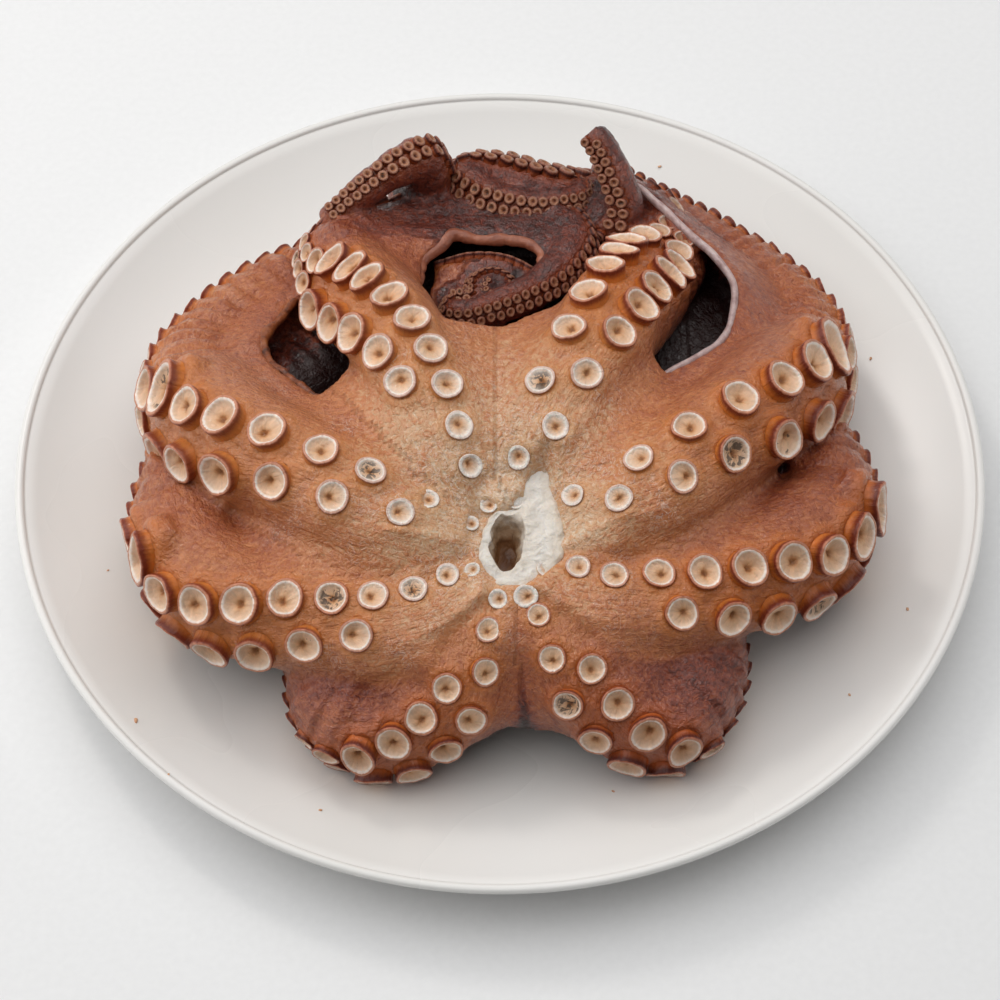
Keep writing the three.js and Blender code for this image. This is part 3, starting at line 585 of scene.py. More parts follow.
def web_shell(web):
    """A sheet from one arm's flank to the next one's, its free edge drawn in between them."""
    u = np.linspace(0, 1, 30)[:, None]
    v = np.linspace(0, 1, 24)[None, :]
    hollow = 4 * v * (1 - v)
    reach = u * (1 - WEB_GATHER * hollow)

    def flank(arm, other, k):
        point, _, facing, across, width, depth = (
            q.reshape(*reach.shape, -1) for q in arm.frame((reach * web["reach"][k]).ravel()))
        away = other.frame((reach * web["reach"][k]).ravel())[0].reshape(point.shape) - point
        side = np.sign((away * across).sum(-1, keepdims=True))
        share = mix(WEB_CROWN_DEPTH, web["depth"][k], reach ** 2)[..., None]
        return point - facing * depth * share + across * side * width * 0.34

    first, second = (arms[name] for name in web["arms"])
    middle = mix(flank(first, second, 0), flank(second, first, 1), v[..., None])
    middle[..., 2] -= web["sag"] * hollow * reach
    half = np.zeros_like(middle)
    half[..., 2] = WEB_THICKNESS / 2
    return slab(middle, half)


def flap_shell(flap):
    """A sheet from an arm's flank to its free edge, bowed up a little, thinner to the edge."""
    arm, edge = arms[flap["arm"]], Line(flap["edge"])
    t = np.linspace(0, 1, 90)
    point, _, facing, across, width, depth = arm.frame(mix(flap["from"], flap["to"], t))
    root = (point - facing * (depth * 0.4)[:, None]
            + across * (flap["side"] * width * 0.3)[:, None])
    tip = edge.point(t * edge.length)
    v = np.linspace(0, 1, 22)[None, :, None]
    middle = mix(root[:, None], tip[:, None], v)
    middle[..., 2] += 1.5 * (4 * v * (1 - v))[..., 0]
    normal = unit(np.cross(tip - root, edge.along(t * edge.length)))[:, None]
    thickness = mix(FLAP_THICKNESS, flap["roll"], smooth((v - 0.8) / 0.2))
    return slab(middle, normal * thickness / 2)


def cup_frames():
    """Every cup of every arm: seat, normal, along, diameter, distance, tone, arm, crowding,
    how far its neighbours press it oval, and how proud it stands."""
    found = []
    for number, arm in enumerate(arms.values()):
        for row, side in enumerate((1, -1)):
            s = arm.cup_places(row)
            size = arm.cup_size(s)
            _, along, facing, across, _, _ = arm.frame(s)
            crowding = smooth((s - arm.spec["suckers"][0]) / 20)
            lean = (mix(ROW_SPLAY, FAN_SPLAY, crowding) * side)[:, None]
            normal = facing * np.cos(lean) + across * np.sin(lean)
            normal = unit(normal - along * (FAN_SHINGLE * crowding)[:, None])
            along = unit(along - normal * (along * normal).sum(-1, keepdims=True))
            seats = arm.seat(s, side)
            gaps = np.linalg.norm(np.diff(seats, axis=0), axis=1)
            room = np.minimum(np.append(gaps, gaps[-1]), np.insert(gaps, 0, gaps[0]))
            squash = np.clip(room * 1.0 / size, 0.56, 1)
            rise = (mix(RISE_AT_MOUTH, RISE_ON_ARM, smooth((s - 20) / 70))
                    * mix(1, RISE_IN_FAN, crowding)
                    * np.minimum(1, PROUD_CUP / size))
            found.append(np.column_stack([seats, normal, along, size, s, arm.tone(s),
                                          np.full(len(s), number), crowding, squash, rise]))
    found += [inner_fan_cups(), mouth_cups()]
    return np.vstack(found)


def inner_fan_cups():
    """Cups along the top of the inner fan, facing away over its edge."""
    line = Line(INNER_FAN["upper"])
    s = np.linspace(1, line.length - 1, INNER_FAN["cups"])
    point, along = line.point(s), line.along(s)
    outward = unit(np.cross(along, [0, 0, -1.0]) + np.array([0, 0, 0.7]))
    one = np.ones(len(s))
    return np.column_stack([point, outward, along, one * INNER_FAN["cup_size"], s, one * 0.74,
                            one * 0, one, one, one])


def mouth_cups():
    """The small cups crowded round the mouth, outside the arms' own rows."""
    seats, size = np.array(MOUTH_CUPS)[:, :3], np.array(MOUTH_CUPS)[:, 3]
    outward = unit(seats - np.array(LIP_CENTRE) + np.array([0, 0, 28.0]))
    along = unit(np.cross([0.0, 1.0, 0.0], outward))
    one = np.ones(len(seats))
    return np.column_stack([seats, outward, along, size, one * 10, one * 0.02, one * 0,
                            one * 0, one, one * SMALL_CUP_RISE])


def inner_fan_shell():
    """A thin sheet between the fan's lower and upper lines."""
    t = np.linspace(0, 1, 40)
    lower, upper = (Line(INNER_FAN[name]) for name in ("lower", "upper"))
    v = np.linspace(0, 1, 16)[None, :, None]
    middle = mix(lower.point(t * lower.length)[:, None], upper.point(t * upper.length)[:, None], v)
    half = np.zeros_like(middle)
    half[..., 2] = INNER_FAN["thickness"] / 2
    return slab(middle, half)


def stub_shells(cups):
    """A short flared neck of flesh under each cup, so that the skin swells up to it."""
    seat, normal, along, size = cups[:, 0:3], cups[:, 3:6], cups[:, 6:9], cups[:, 9]
    third, squash = np.cross(along, normal), cups[:, 14][:, None, None]
    angle = np.arange(14) / 14 * 2 * np.pi
    shells = []
    radii = np.array([0.74, 0.62, 0.50, 0.42])
    heights = np.array([-0.3, -0.12, -0.01, 0.0])
    circle = (np.cos(angle)[None, :, None] * along[:, None, :] * squash
              + np.sin(angle)[None, :, None] * third[:, None, :])
    rings = (seat[:, None, None, :]
             + circle[:, None] * (radii[None, :] * size[:, None])[..., None, None]
             + normal[:, None, None, :] * (heights[None, :] * size[:, None])[..., None, None])
    for stub in rings:
        shells.append(tube(stub))
    return shells


def arm_samples():
    """Points down the middle of every arm, with what the skin near them needs to know."""
    rows = []
    for number, arm in enumerate(arms.values()):
        s = np.arange(0, arm.length, 3.0)
        point, along, facing, across, width, depth = arm.frame(s)
        rows.append(np.column_stack([point - facing * (depth / 2)[:, None], facing, across,
                                     width, s, arm.tone(s), np.full(len(s), number)]))
    return np.vstack(rows)


def nearest_arm(points):
    """For each point: the nearest sample, its distance in half widths, the blended tone and
    how much nearer it is than any sample of another arm, in half widths."""
    samples = arm_samples()
    centre, half, tone = samples[:, :3], samples[:, 9] / 2, samples[:, 11]
    starts = np.searchsorted(samples[:, 12], np.arange(len(arms)))
    nearest = np.empty(len(points), int)
    reach = np.empty(len(points))
    blended = np.empty(len(points))
    margin = np.empty(len(points))
    for start in range(0, len(points), BLOCK):
        some = points[start:start + BLOCK]
        square = ((some ** 2).sum(1)[:, None] + (centre ** 2).sum(1)[None]
                  - 2 * some @ centre.T)
        near = np.maximum(square, 0) / half[None] ** 2
        pick = near.argmin(1)
        nearest[start:start + BLOCK] = pick
        reach[start:start + BLOCK] = np.sqrt(near[np.arange(len(some)), pick])
        by_arm = np.sort(np.sqrt(np.minimum.reduceat(near, starts, axis=1)), axis=1)
        margin[start:start + BLOCK] = by_arm[:, 1] - by_arm[:, 0]
        weight = np.exp(-5 * (near - near.min(1, keepdims=True)))
        blended[start:start + BLOCK] = (weight * tone).sum(1) / weight.sum(1)
    return samples[nearest], reach, blended, margin


def ridges(number, s, side):
    """1 in line with a cup and -1 between two, read from the row of cups on the point's side."""
    phase = np.zeros(len(s))
    for index, arm in enumerate(arms.values()):
        for row, sign in enumerate((1, -1)):
            mine = (number == index) & (np.sign(side) == sign)
            places = arm.cup_places(row)
            phase[mine] = np.interp(s[mine], places, np.arange(len(places)))
    return 2 * np.abs(np.cos(np.pi * phase)) ** 0.8 - 1


def collars(points, normals, cups):
    """For each point its distance from the nearest cup, in cup diameters, that cup's diameter
    and 0 to 1 for how far the skin there faces the same way as the cup."""
    seat, normal, along, size, squash = (cups[:, 0:3], cups[:, 3:6], cups[:, 6:9], cups[:, 9],
                                         cups[:, 14])
    apart, pick = np.empty(len(points)), np.empty(len(points), int)
    for start in range(0, len(points), BLOCK):
        some = points[start:start + BLOCK]
        square = (some ** 2).sum(1)[:, None] + (seat ** 2).sum(1)[None] - 2 * some @ seat.T
        high = some @ normal.T - (seat * normal).sum(1)[None]
        far = some @ along.T - (seat * along).sum(1)[None]
        flat = square + 2.0 * high ** 2 + far ** 2 * (1 / squash ** 2 - 1)[None]
        share = np.sqrt(np.maximum(flat, 0)) / size[None]
        near = share.argmin(1)
        pick[start:start + BLOCK] = near
        apart[start:start + BLOCK] = share[np.arange(len(some)), near]
    agree = smooth(((normals * normal[pick]).sum(1) - 0.15) / 0.5)
    high = np.abs(((points - seat[pick]) * normal[pick]).sum(1)) / size[pick]
    agree *= 1 - smooth((high - 0.2) / 0.2)
    return apart, size[pick], agree


def fan_share(number, s):
    """0 on the crown, 1 in the fan beyond each arm's shoulder."""
    shoulder = np.array([arm.spec["suckers"][0] for arm in arms.values()])
    return smooth((s - shoulder[number.astype(int)] + 6) / 24)


def closed_curve(angle, knots):
    """Radius at each angle, through (degrees, radius) knots that go once round."""
    degrees, radius = np.array(knots, float).T
    degrees = np.concatenate([degrees - 360, degrees, degrees + 360])
    at = np.degrees(angle) % 360
    return np.interp(at, degrees, np.tile(radius, 3))


def at_mouth(angle, centre, knots):
    """Points round a centre on the crown, at the knots' radii."""
    radius = closed_curve(angle, knots)
    return np.stack([centre[0] + radius * np.cos(angle), centre[1] + radius * np.sin(angle)], -1)


def inside_curve(points, centre, knots):
    """How far out each point lies from a centre, as a share of a closed curve's radius."""
    away = points[:, :2] - np.array(centre)
    return np.hypot(*away.T) / closed_curve(np.arctan2(away[:, 1], away[:, 0]), knots)


def mouth_pit(points):
    """How deep the skin sinks at the mouth: a smooth well, and a shallow bed for the torn
    flesh beside it, only in the crown's upper face."""
    well = MOUTH_DEPTH * (1 - smooth((inside_curve(points, *MOUTH_WELL) - 0.5) / 0.8))
    bed = TORN_BED * (1 - smooth((inside_curve(points, *TORN_FLESH) - 0.72) / 0.3))
    return np.where(points[:, 2] > CROWN_LEVEL, np.maximum(well, bed), 0)


def crown_height(skin_points, places):
    """The crown's level at each place: a curved surface fitted to the skin round the mouth."""
    def terms(x, y):
        return np.column_stack([np.ones(len(x)), x, y, x * x, x * y, y * y, x ** 3, x * x * y,
                                x * y * y, y ** 3])

    x, y = ((skin_points[:, :2] - np.array(MOUTH_WELL[0])) / 20).T
    apart = np.hypot(x, y)
    crown = (skin_points[:, 2] > 50) & (apart > 0.5) & (apart < 1.9)
    x, y = x[crown], y[crown]
    fit = np.linalg.lstsq(terms(x, y), skin_points[crown, 2], rcond=None)[0]
    x, y = ((places.reshape(-1, 2) - np.array(MOUTH_WELL[0])) / 20).T
    return (terms(x, y) @ fit).reshape(places.shape[:-1])


def build_mouth(skin_points):
    """Torn white flesh beside the mouth: rings of points from the bottom of the well, up its
    wall, over a soft crest and out to the torn outline, with lumps and shreds in its relief."""
    t = np.linspace(0, 1, 150)[:, None]
    angle = np.linspace(0, 2 * np.pi, 260, endpoint=False)
    well = at_mouth(angle, *MOUTH_WELL) - np.array(MOUTH_WELL[0])
    outline = at_mouth(angle, *TORN_FLESH)
    narrowing = np.interp(t, [0, 0.12, 0.3, 0.36], [0.05, 0.5, 0.86, 1.0])[..., None]
    out = smooth((t - 0.36) / 0.64)[..., None] ** 0.8
    flat = mix(np.array(MOUTH_WELL[0]) + well[None] * narrowing, outline[None], out)
    down = np.interp(t, [0, 0.12, 0.3, 0.36, 0.42, 0.8, 0.97, 1],
                     [-MOUTH_DEPTH + 3, -MOUTH_DEPTH + 4, -4.5, -0.6, 0.3, 0.2, -0.4, -2.6])
    rings = np.concatenate([flat, (crown_height(skin_points, flat) + down)[..., None]], -1)
    relief = (0.9 * lumps(rings, 4.2, 3) + 0.35 * lumps(rings, 1.7, 4)
              + 0.14 * lumps(rings, 0.8, 5))
    rings[..., 2] += relief * smooth(t / 0.3) * smooth((1.0 - t) / 0.12)
    rings[..., :2] += np.stack([lumps(rings, 2.6, 6), lumps(rings, 2.6, 7)], -1) * 0.7
    under = rings[::-6].copy()
    under[..., 2] -= 1.6
    piece = new_mesh("mouth_flesh", *tube(np.concatenate([rings, under])))
    rows = np.repeat(np.concatenate([t[:, 0], t[::-6, 0]]), angle.size)
    add_attribute(piece, "depth", np.concatenate([rows, [0, 0]]))
    return piece


def edge_tube(name, flap, radius, flatness, unevenness, salt):
    """A bead along a flap's free edge: an oval carried along it, swelling unevenly."""
    line = Line(FLAPS[flap]["edge"])
    s = np.linspace(0, line.length, int(line.length / 0.6))
    point, along = line.point(s), line.along(s)
    side = unit(np.cross(along, [0.0, 0.0, 1.0]))
    over = np.cross(side, along)
    angle = np.linspace(0, 2 * np.pi, 18, endpoint=False)[None, :, None]
    swell = (1 + unevenness * lumps(point, 6, salt) + 0.5 * unevenness * lumps(point, 2.2, salt + 1))
    swell = swell * np.sqrt(smooth(s / 4) * smooth((line.length - s) / 4) + 1e-4)
    ring = (point + side * (unevenness * 1.2 * lumps(point, 5, salt + 2))[:, None])[:, None] + (
        side[:, None] * np.cos(angle) * flatness + over[:, None] * np.sin(angle)
    ) * (radius * swell)[:, None, None]
    return new_mesh(name, *tube(ring[:, ::-1]))


def sunken(points, step=3.0, reach=12):
    """How far each point lies below the ground round it, in mm: the highest skin is found in
    each of eight directions out to 36 mm, and the second lowest of these is what encloses it."""
    edge = RIM_RADIUS + 5
    cell = np.floor((points[:, :2] + edge) / step).astype(int)
    heights = np.zeros((int(2 * edge / step),) * 2)
    np.maximum.at(heights, (cell[:, 0], cell[:, 1]), points[:, 2])
    walls = []
    for dx, dy in [(1, 0), (1, 1), (0, 1), (-1, 1), (-1, 0), (-1, -1), (0, -1), (1, -1)]:
        shifted = [np.roll(heights, (-dx * k, -dy * k), (0, 1)) for k in range(2, reach + 1)]
        walls.append(np.max(shifted, axis=0))
    around = np.sort(np.array(walls), axis=0)[1]
    return around[cell[:, 0], cell[:, 1]] - points[:, 2]


def settled(cups, points, normals):
    """The crown's cups laid flush on the skin: each seat moved to the mean level of the skin
    round it and its axis turned towards the skin's own, wholly at the mouth, less further out."""
    cups = cups.copy()
    share = (1 - smooth((cups[:, 10] - FLUSH_REACH) / FLUSH_FADE)) * (1 - cups[:, 13])
    for k in np.flatnonzero(share > 0.01):
        seat, axis, size = cups[k, 0:3], cups[k, 3:6], cups[k, 9]
        away = points - seat
        high = away @ axis
        flat = np.linalg.norm(away - high[:, None] * axis, axis=1)
        near = (flat < 0.75 * size) & (np.abs(high) < 9) & (normals @ axis > 0.3)
        if near.sum() < 4:
            continue
        level = np.median(high[near])
        cups[k, 0:3] = seat + axis * level * share[k]
        cups[k, 3:6] = unit(mix(axis, unit(normals[near].mean(0)), FLUSH_TURN * share[k]))
        along = cups[k, 6:9] - cups[k, 3:6] * (cups[k, 6:9] @ cups[k, 3:6])
        cups[k, 6:9] = unit(along)
    return cups


def build_skin(cups):
    """Everything but the cups and the mouth's torn flesh, grown together and smoothed; gives
    back the skin and the cups as they settle on it."""
    shells = [arm_shell(arm) for arm in arms.values()]
    shells += [web_shell(web) for web in WEBS]
    shells += [flap_shell(flap) for flap in FLAPS.values()] + [inner_fan_shell()]
    shells += stub_shells(cups[(cups[:, 9] > 4.2) & ((cups[:, 10] > FLUSH_REACH) | (cups[:, 13] > 0.5))])
    shells += [ellipsoid(LIP_CENTRE, LIP_RADII)] + [ellipsoid(*lobe) for lobe in LOBES]
    skin = new_mesh("octopus_skin", *joined(shells))
    finished(skin, ("REMESH", {"mode": "VOXEL", "voxel_size": SKIN_GRAIN * MM}),
             ("SMOOTH", {"factor": 0.5, "iterations": SKIN_SMOOTHING}))
    points = points_of(skin.data)
    floor = dish_height(np.hypot(points[:, 0], points[:, 1])) + CONTACT_GAP
    points[:, 2] = np.maximum(points[:, 2], floor)
    near, reach, tone, margin = nearest_arm(points)
    # Painted shade: the tone is darkened on skin below 47 mm that lies well away from every arm's
    # middle, under the webs and on the body beneath the crown.
    tone = tone + 0.6 * smooth((reach - 1.12) / 0.35) * smooth((47 - points[:, 2]) / 7)
    # Painted shade: darker in enclosed hollows, the deeper the skin sinks below what is round it.
    tone = tone + (0.75 * smooth((sunken(points) - HOLLOW_SHADE_FROM) / HOLLOW_SHADE_OVER)
                   * smooth((HOLLOW_SHADE_BELOW - points[:, 2]) / 10))
    offset = points - near[:, :3]
    up = (offset * near[:, 3:6]).sum(1) / (near[:, 9] / 2)
    side = (offset * near[:, 6:9]).sum(1) / (near[:, 9] / 2)
    lie = np.column_stack([near[:, 10] * 1.0, np.arctan2(side, up) * near[:, 9] / 2,
                           near[:, 12] * 40])
    points[:, 2] -= mouth_pit(points)
    normals = np.empty(len(points) * 3, np.float32)
    skin.data.vertex_normals.foreach_get("vector", normals)
    normals = normals.reshape(-1, 3).astype(float)
    cups = settled(cups, points, normals)
    apart, diameter, agree = collars(points, normals, cups[cups[:, 9] > 2.5])
    ridge = ridges(near[:, 12], near[:, 10], side)
    flank = np.exp(-((np.abs(np.arctan2(side, up)) - 1.15) / 0.75) ** 2)
    fan = fan_share(near[:, 12], near[:, 10]) * smooth((1.35 - reach) / 0.3)
    height = RIDGE_HEIGHT * ridge * flank * fan * clamp01(near[:, 9] / 30)
    collar = np.exp(-((apart - COLLAR_AT) / COLLAR_BREADTH) ** 2) * agree
    height += COLLAR_HEIGHT * diameter * (collar - 1.6 * (1 - smooth((apart - 0.3) / 0.16)))
    points += normals * (height + 0.35 * lumps(points, 9) + 0.2 * lumps(points, 4, 1))[:, None]
    points[:, 2] = np.maximum(points[:, 2], floor)
    skin.data.vertices.foreach_set("co", (points * MM).astype(np.float32).ravel())
    for name, values in (("tone", tone), ("collar", collar), ("back", clamp01(0.5 - up / 2)),
                         ("clear", smooth(margin / 0.22)), ("lie", lie * MM)):
        add_attribute(skin, name, values)
    skin.data.polygons.foreach_set("use_smooth", np.ones(len(skin.data.polygons), bool))
    skin.data.update()
    return skin, cups


# ---- suckers -----------------------------------------------------------------------

# A cup's profile, from its root over the rim and down into the pit: radius and height as
# shares of its diameter, and the zone of colour, 0.36 at the outer rim and 0.9 at the pit.
CUP_PROFILE = np.array([
    [0.600, -0.300, 0.00], [0.545, -0.140, 0.08], [0.510, -0.020, 0.16], [0.490, 0.070, 0.22],
    [0.482, 0.130, 0.27], [0.485, 0.180, 0.31], [0.494, 0.220, 0.34], [0.500, 0.252, 0.37],
    [0.496, 0.276, 0.40], [0.480, 0.293, 0.44], [0.456, 0.300, 0.48], [0.436, 0.292, 0.51],
    [0.420, 0.290, 0.54], [0.398, 0.284, 0.58], [0.376, 0.262, 0.62], [0.356, 0.226, 0.65],
    [0.326, 0.192, 0.69], [0.270, 0.160, 0.74], [0.205, 0.134, 0.80], [0.150, 0.112, 0.85],
    [0.108, 0.092, 0.89], [0.080, 0.062, 0.92], [0.052, 0.040, 0.96], [0.004, 0.034, 1.00]])
BUTTON_PROFILE = np.array([
    [0.50, -0.30, 0.00], [0.46, 0.04, 0.20], [0.48, 0.24, 0.34], [0.50, 0.34, 0.40],
    [0.46, 0.43, 0.45], [0.34, 0.47, 0.52], [0.22, 0.40, 0.72], [0.10, 0.30, 0.90],
    [0.01, 0.26, 1.00]])


def cup_shells(name, cups, profile, columns, unevenness):
    """Cups as one mesh: each profile turned round its own axis, uneven in outline and rim."""
    chance = np.random.default_rng(SEED + len(cups))
    count, rows = len(cups), len(profile)
    seat, normal, along, size = cups[:, 0:3], cups[:, 3:6], cups[:, 6:9], cups[:, 9]
    third = np.cross(along, normal)
    angle = np.arange(columns) / columns * 2 * np.pi
    lean = chance.normal(0, 0.06, (count, 2))
    normal = unit(normal + along * lean[:, :1] + third * lean[:, 1:])
    squash = cups[:, 14][:, None, None]

    turn = angle[None, :] + chance.uniform(0, 2 * np.pi, (count, 1))

    def waves(*sizes_and_times):
        return sum(size * np.cos(times * turn + chance.uniform(0, 6, (count, 1)))
                   for size, times in sizes_and_times)

    oval = 0.030 * chance.normal(1, 0.5, (count, 1)) * np.cos(2 * turn)
    oval = 1 + unevenness * (oval + waves((0.018, 3), (0.010, 5)))
    wave = unevenness * waves((0.018, 2), (0.010, 3), (0.007, 7))
    sag = unevenness * waves((0.030, 1), (0.018, 3), (0.012, 5))
    drift = unevenness * chance.uniform(0.02, 0.085, (count, 1)) * np.array([1.0, 0.0]) + (
        unevenness * chance.normal(0, 0.03, (count, 2)))
    t = profile[:, 2]
    inside = smooth((t - 0.62) / 0.25)
    rimness = np.exp(-((t - 0.45) / 0.16) ** 2)
    depth = chance.normal(1, 0.12, (count, 1)) * np.minimum(1, cups[:, 15:16])
    crest = profile[:, 1].max()
    rise = cups[:, 15:16]
    heights = np.where(t > 0.45, crest * rise - (crest - profile[:, 1]) * depth,
                       profile[:, 1] * np.where(profile[:, 1] > 0, rise, 1))
    wide = profile[None, :, None, 0] * (1 + (oval[:, None, :] - 1) * mix(0.4, 1, rimness)[:, None])
    high = (heights[:, :, None] + wave[:, None, :] * rimness[:, None]
            + sag[:, None, :] * (inside * smooth((1.02 - t) / 0.15))[:, None])
    circle = (np.cos(angle)[None, :, None] * along[:, None, :] * squash
              + np.sin(angle)[None, :, None] * third[:, None, :])
    rings = (seat[:, None, None, :]
             + circle[:, None] * (wide * size[:, None, None])[..., None]
             + normal[:, None, None, :] * (high * size[:, None, None])[..., None])
    aside = along * drift[:, :1] + third * drift[:, 1:]
    rings = rings + (aside * size[:, None])[:, None, None, :] * inside[None, :, None, None]
    shells = [tube(ring) for ring in rings]
    piece = new_mesh(name, *joined(shells))

    def per_point(values):
        return np.concatenate([values.reshape(count, -1), values[:, 0, :1], values[:, -1, :1]],
                              axis=1).ravel()

    full = np.ones((count, rows, columns))
    add_attribute(piece, "profile", per_point(full * t[None, :, None]))
    salt = per_point(full * chance.uniform(0, 50, (count, 1, 1)))
    add_attribute(piece, "round", np.stack([
        per_point(full * np.cos(angle)), per_point(full * np.sin(angle)), salt], -1))
    add_attribute(piece, "floor", np.stack([
        per_point(full * profile[None, :, None, 0] * np.cos(angle)),
        per_point(full * profile[None, :, None, 0] * np.sin(angle)), salt], -1))
    add_attribute(piece, "tone", per_point(full * cups[:, 11][:, None, None]))
    add_attribute(piece, "age", per_point(full * chance.uniform(0, 1, (count, 1, 1))))
    return piece


# ---- materials ---------------------------------------------------------------------

def colour(hex_value):
    """An sRGB hex colour as linear red, green, blue and alpha."""
    parts = [int(hex_value[k:k + 2], 16) / 255 for k in (1, 3, 5)]
    return tuple(c / 12.92 if c <= 0.04045 else ((c + 0.055) / 1.055) ** 2.4
                 for c in parts) + (1.0,)


def node(material, kind, links=(), **settings):
    """Adds a node with its settings; each link is (its input, another node's output)."""
    made = material.node_tree.nodes.new(kind)
    for key, value in settings.items():
        if key == "stops":
            ramp_stops = made.color_ramp
            while len(ramp_stops.elements) < len(value):
                ramp_stops.elements.new(0.5)
            for element, (position, tint) in zip(ramp_stops.elements, value):
                element.position = position
                element.color = colour(tint)
        elif key == "inputs":
            for socket, number in value.items():
                made.inputs[socket].default_value = number
        else:
            setattr(made, key, value)
    for socket, source in links:
        material.node_tree.links.new(source, made.inputs[socket])
    return made


def new_material(name):
    """An empty material, and where each point lies in the object's own space."""
    m = bpy.data.materials.new(name)
    m.use_nodes = True
    m.node_tree.nodes.clear()
    return m, node(m, "ShaderNodeTexCoord").outputs["Object"]


def attribute(m, name, output="Fac"):
    return node(m, "ShaderNodeAttribute", attribute_name=name).outputs[output]


def noise(m, vector, scale, detail, roughness=0.5, distortion=0.0):
    """Noise of so many lumps to a metre."""
    return node(m, "ShaderNodeTexNoise", [("Vector", vector)],
                inputs={"Scale": scale, "Detail": detail, "Roughness": roughness,
                        "Distortion": distortion}).outputs["Fac"]


def reckon(m, operation, *values):
    """One arithmetic step; each value is another node's output or a number."""
    links = [(k, v) for k, v in enumerate(values) if not isinstance(v, float)]
    numbers = {k: v for k, v in enumerate(values) if isinstance(v, float)}
    return node(m, "ShaderNodeMath", links, operation=operation, inputs=numbers).outputs[0]


def remap(m, value, low, high, to_low, to_high):
    return node(m, "ShaderNodeMapRange", [("Value", value)],
                inputs={"From Min": low, "From Max": high, "To Min": to_low,
                        "To Max": to_high}).outputs[0]


def ramp(m, value, stops):
    return node(m, "ShaderNodeValToRGB", [("Fac", value)], stops=stops).outputs["Color"]


def blend(m, factor, a, b):
    """Colour a turning into b by the factor; b is another node's colour or a hex colour."""
    links = [("Factor", factor), ("A", a)] + ([] if isinstance(b, str) else [("B", b)])
    made = node(m, "ShaderNodeMix", links, data_type="RGBA")
    if isinstance(b, str):
        made.inputs["B"].default_value = colour(b)
    return made.outputs["Result"]


def mean_of(m, links, **numbers):
    """Two numbers, A and B, mixed by a factor; each of the three is linked or given."""
    return node(m, "ShaderNodeMix", links, data_type="FLOAT",
                inputs=numbers).outputs["Result"]


def relief(m, *layers):
    """Bumps laid one over the other: each a height, how strong it is and how deep, in metres."""
    normal = None
    for height, strength, depth in layers:
        links = [("Height", height)] + ([("Normal", normal)] if normal else [])
        normal = node(m, "ShaderNodeBump", links,
                      inputs={"Strength": strength, "Distance": depth}).outputs[0]
    return normal


def surface(m, tint, normal, roughness, index, *more_links, **inputs):
    """The finished surface; roughness is a number or another node's output."""
    links = [("Base Color", tint), *more_links] + ([("Normal", normal)] if normal else [])
    numbers = {"IOR": index, **{name.replace("_", " "): v for name, v in inputs.items()}}
    if isinstance(roughness, float):
        numbers["Roughness"] = roughness
    else:
        links.append(("Roughness", roughness))
    shader = node(m, "ShaderNodeBsdfPrincipled", links, inputs=numbers)
    node(m, "ShaderNodeOutputMaterial", [("Surface", shader.outputs[0])])
    return m


FLESH_INDEX, JUICE_INDEX = 1.4, 1.34
SKIN_STOPS = [(0.0, "#e4cdb0"), (0.14, "#d8a97f"), (0.32, "#c97f4d"), (0.52, "#ad6039"),
              (0.72, "#853c26"), (0.88, "#55231a"), (1.0, "#30130f")]
WALL_STOPS = [(0.0, "#e2c6a2"), (0.2, "#d69458"), (0.42, "#cf7630"), (0.6, "#b65a26"),
              (0.85, "#78341e")]
RIM_STOPS = [(0.0, "#e3c8ae"), (0.2, "#c07c52"), (0.4, "#863820"), (0.6, "#5e2419"),
             (0.85, "#431b16")]
CUP_STOPS = [(0.39, "#9c4f36"), (0.43, "#bf775a"), (0.485, "#d29475"), (0.51, "#c8794f"),
             (0.545, "#f7e2d3"), (0.60, "#fdeee3"), (0.645, "#efd0b4"), (0.72, "#ebc3a2"),
             (0.82, "#e6b890"), (0.885, "#d9a376"), (0.93, "#b77d4e"), (1.0, "#96603a")]
BUTTON_STOPS = [(0.42, "#8a4a38"), (0.47, "#c08a70"), (0.56, "#d2a184"), (0.72, "#c08055"),
                (0.88, "#7d4529"), (1.0, "#4a2618")]


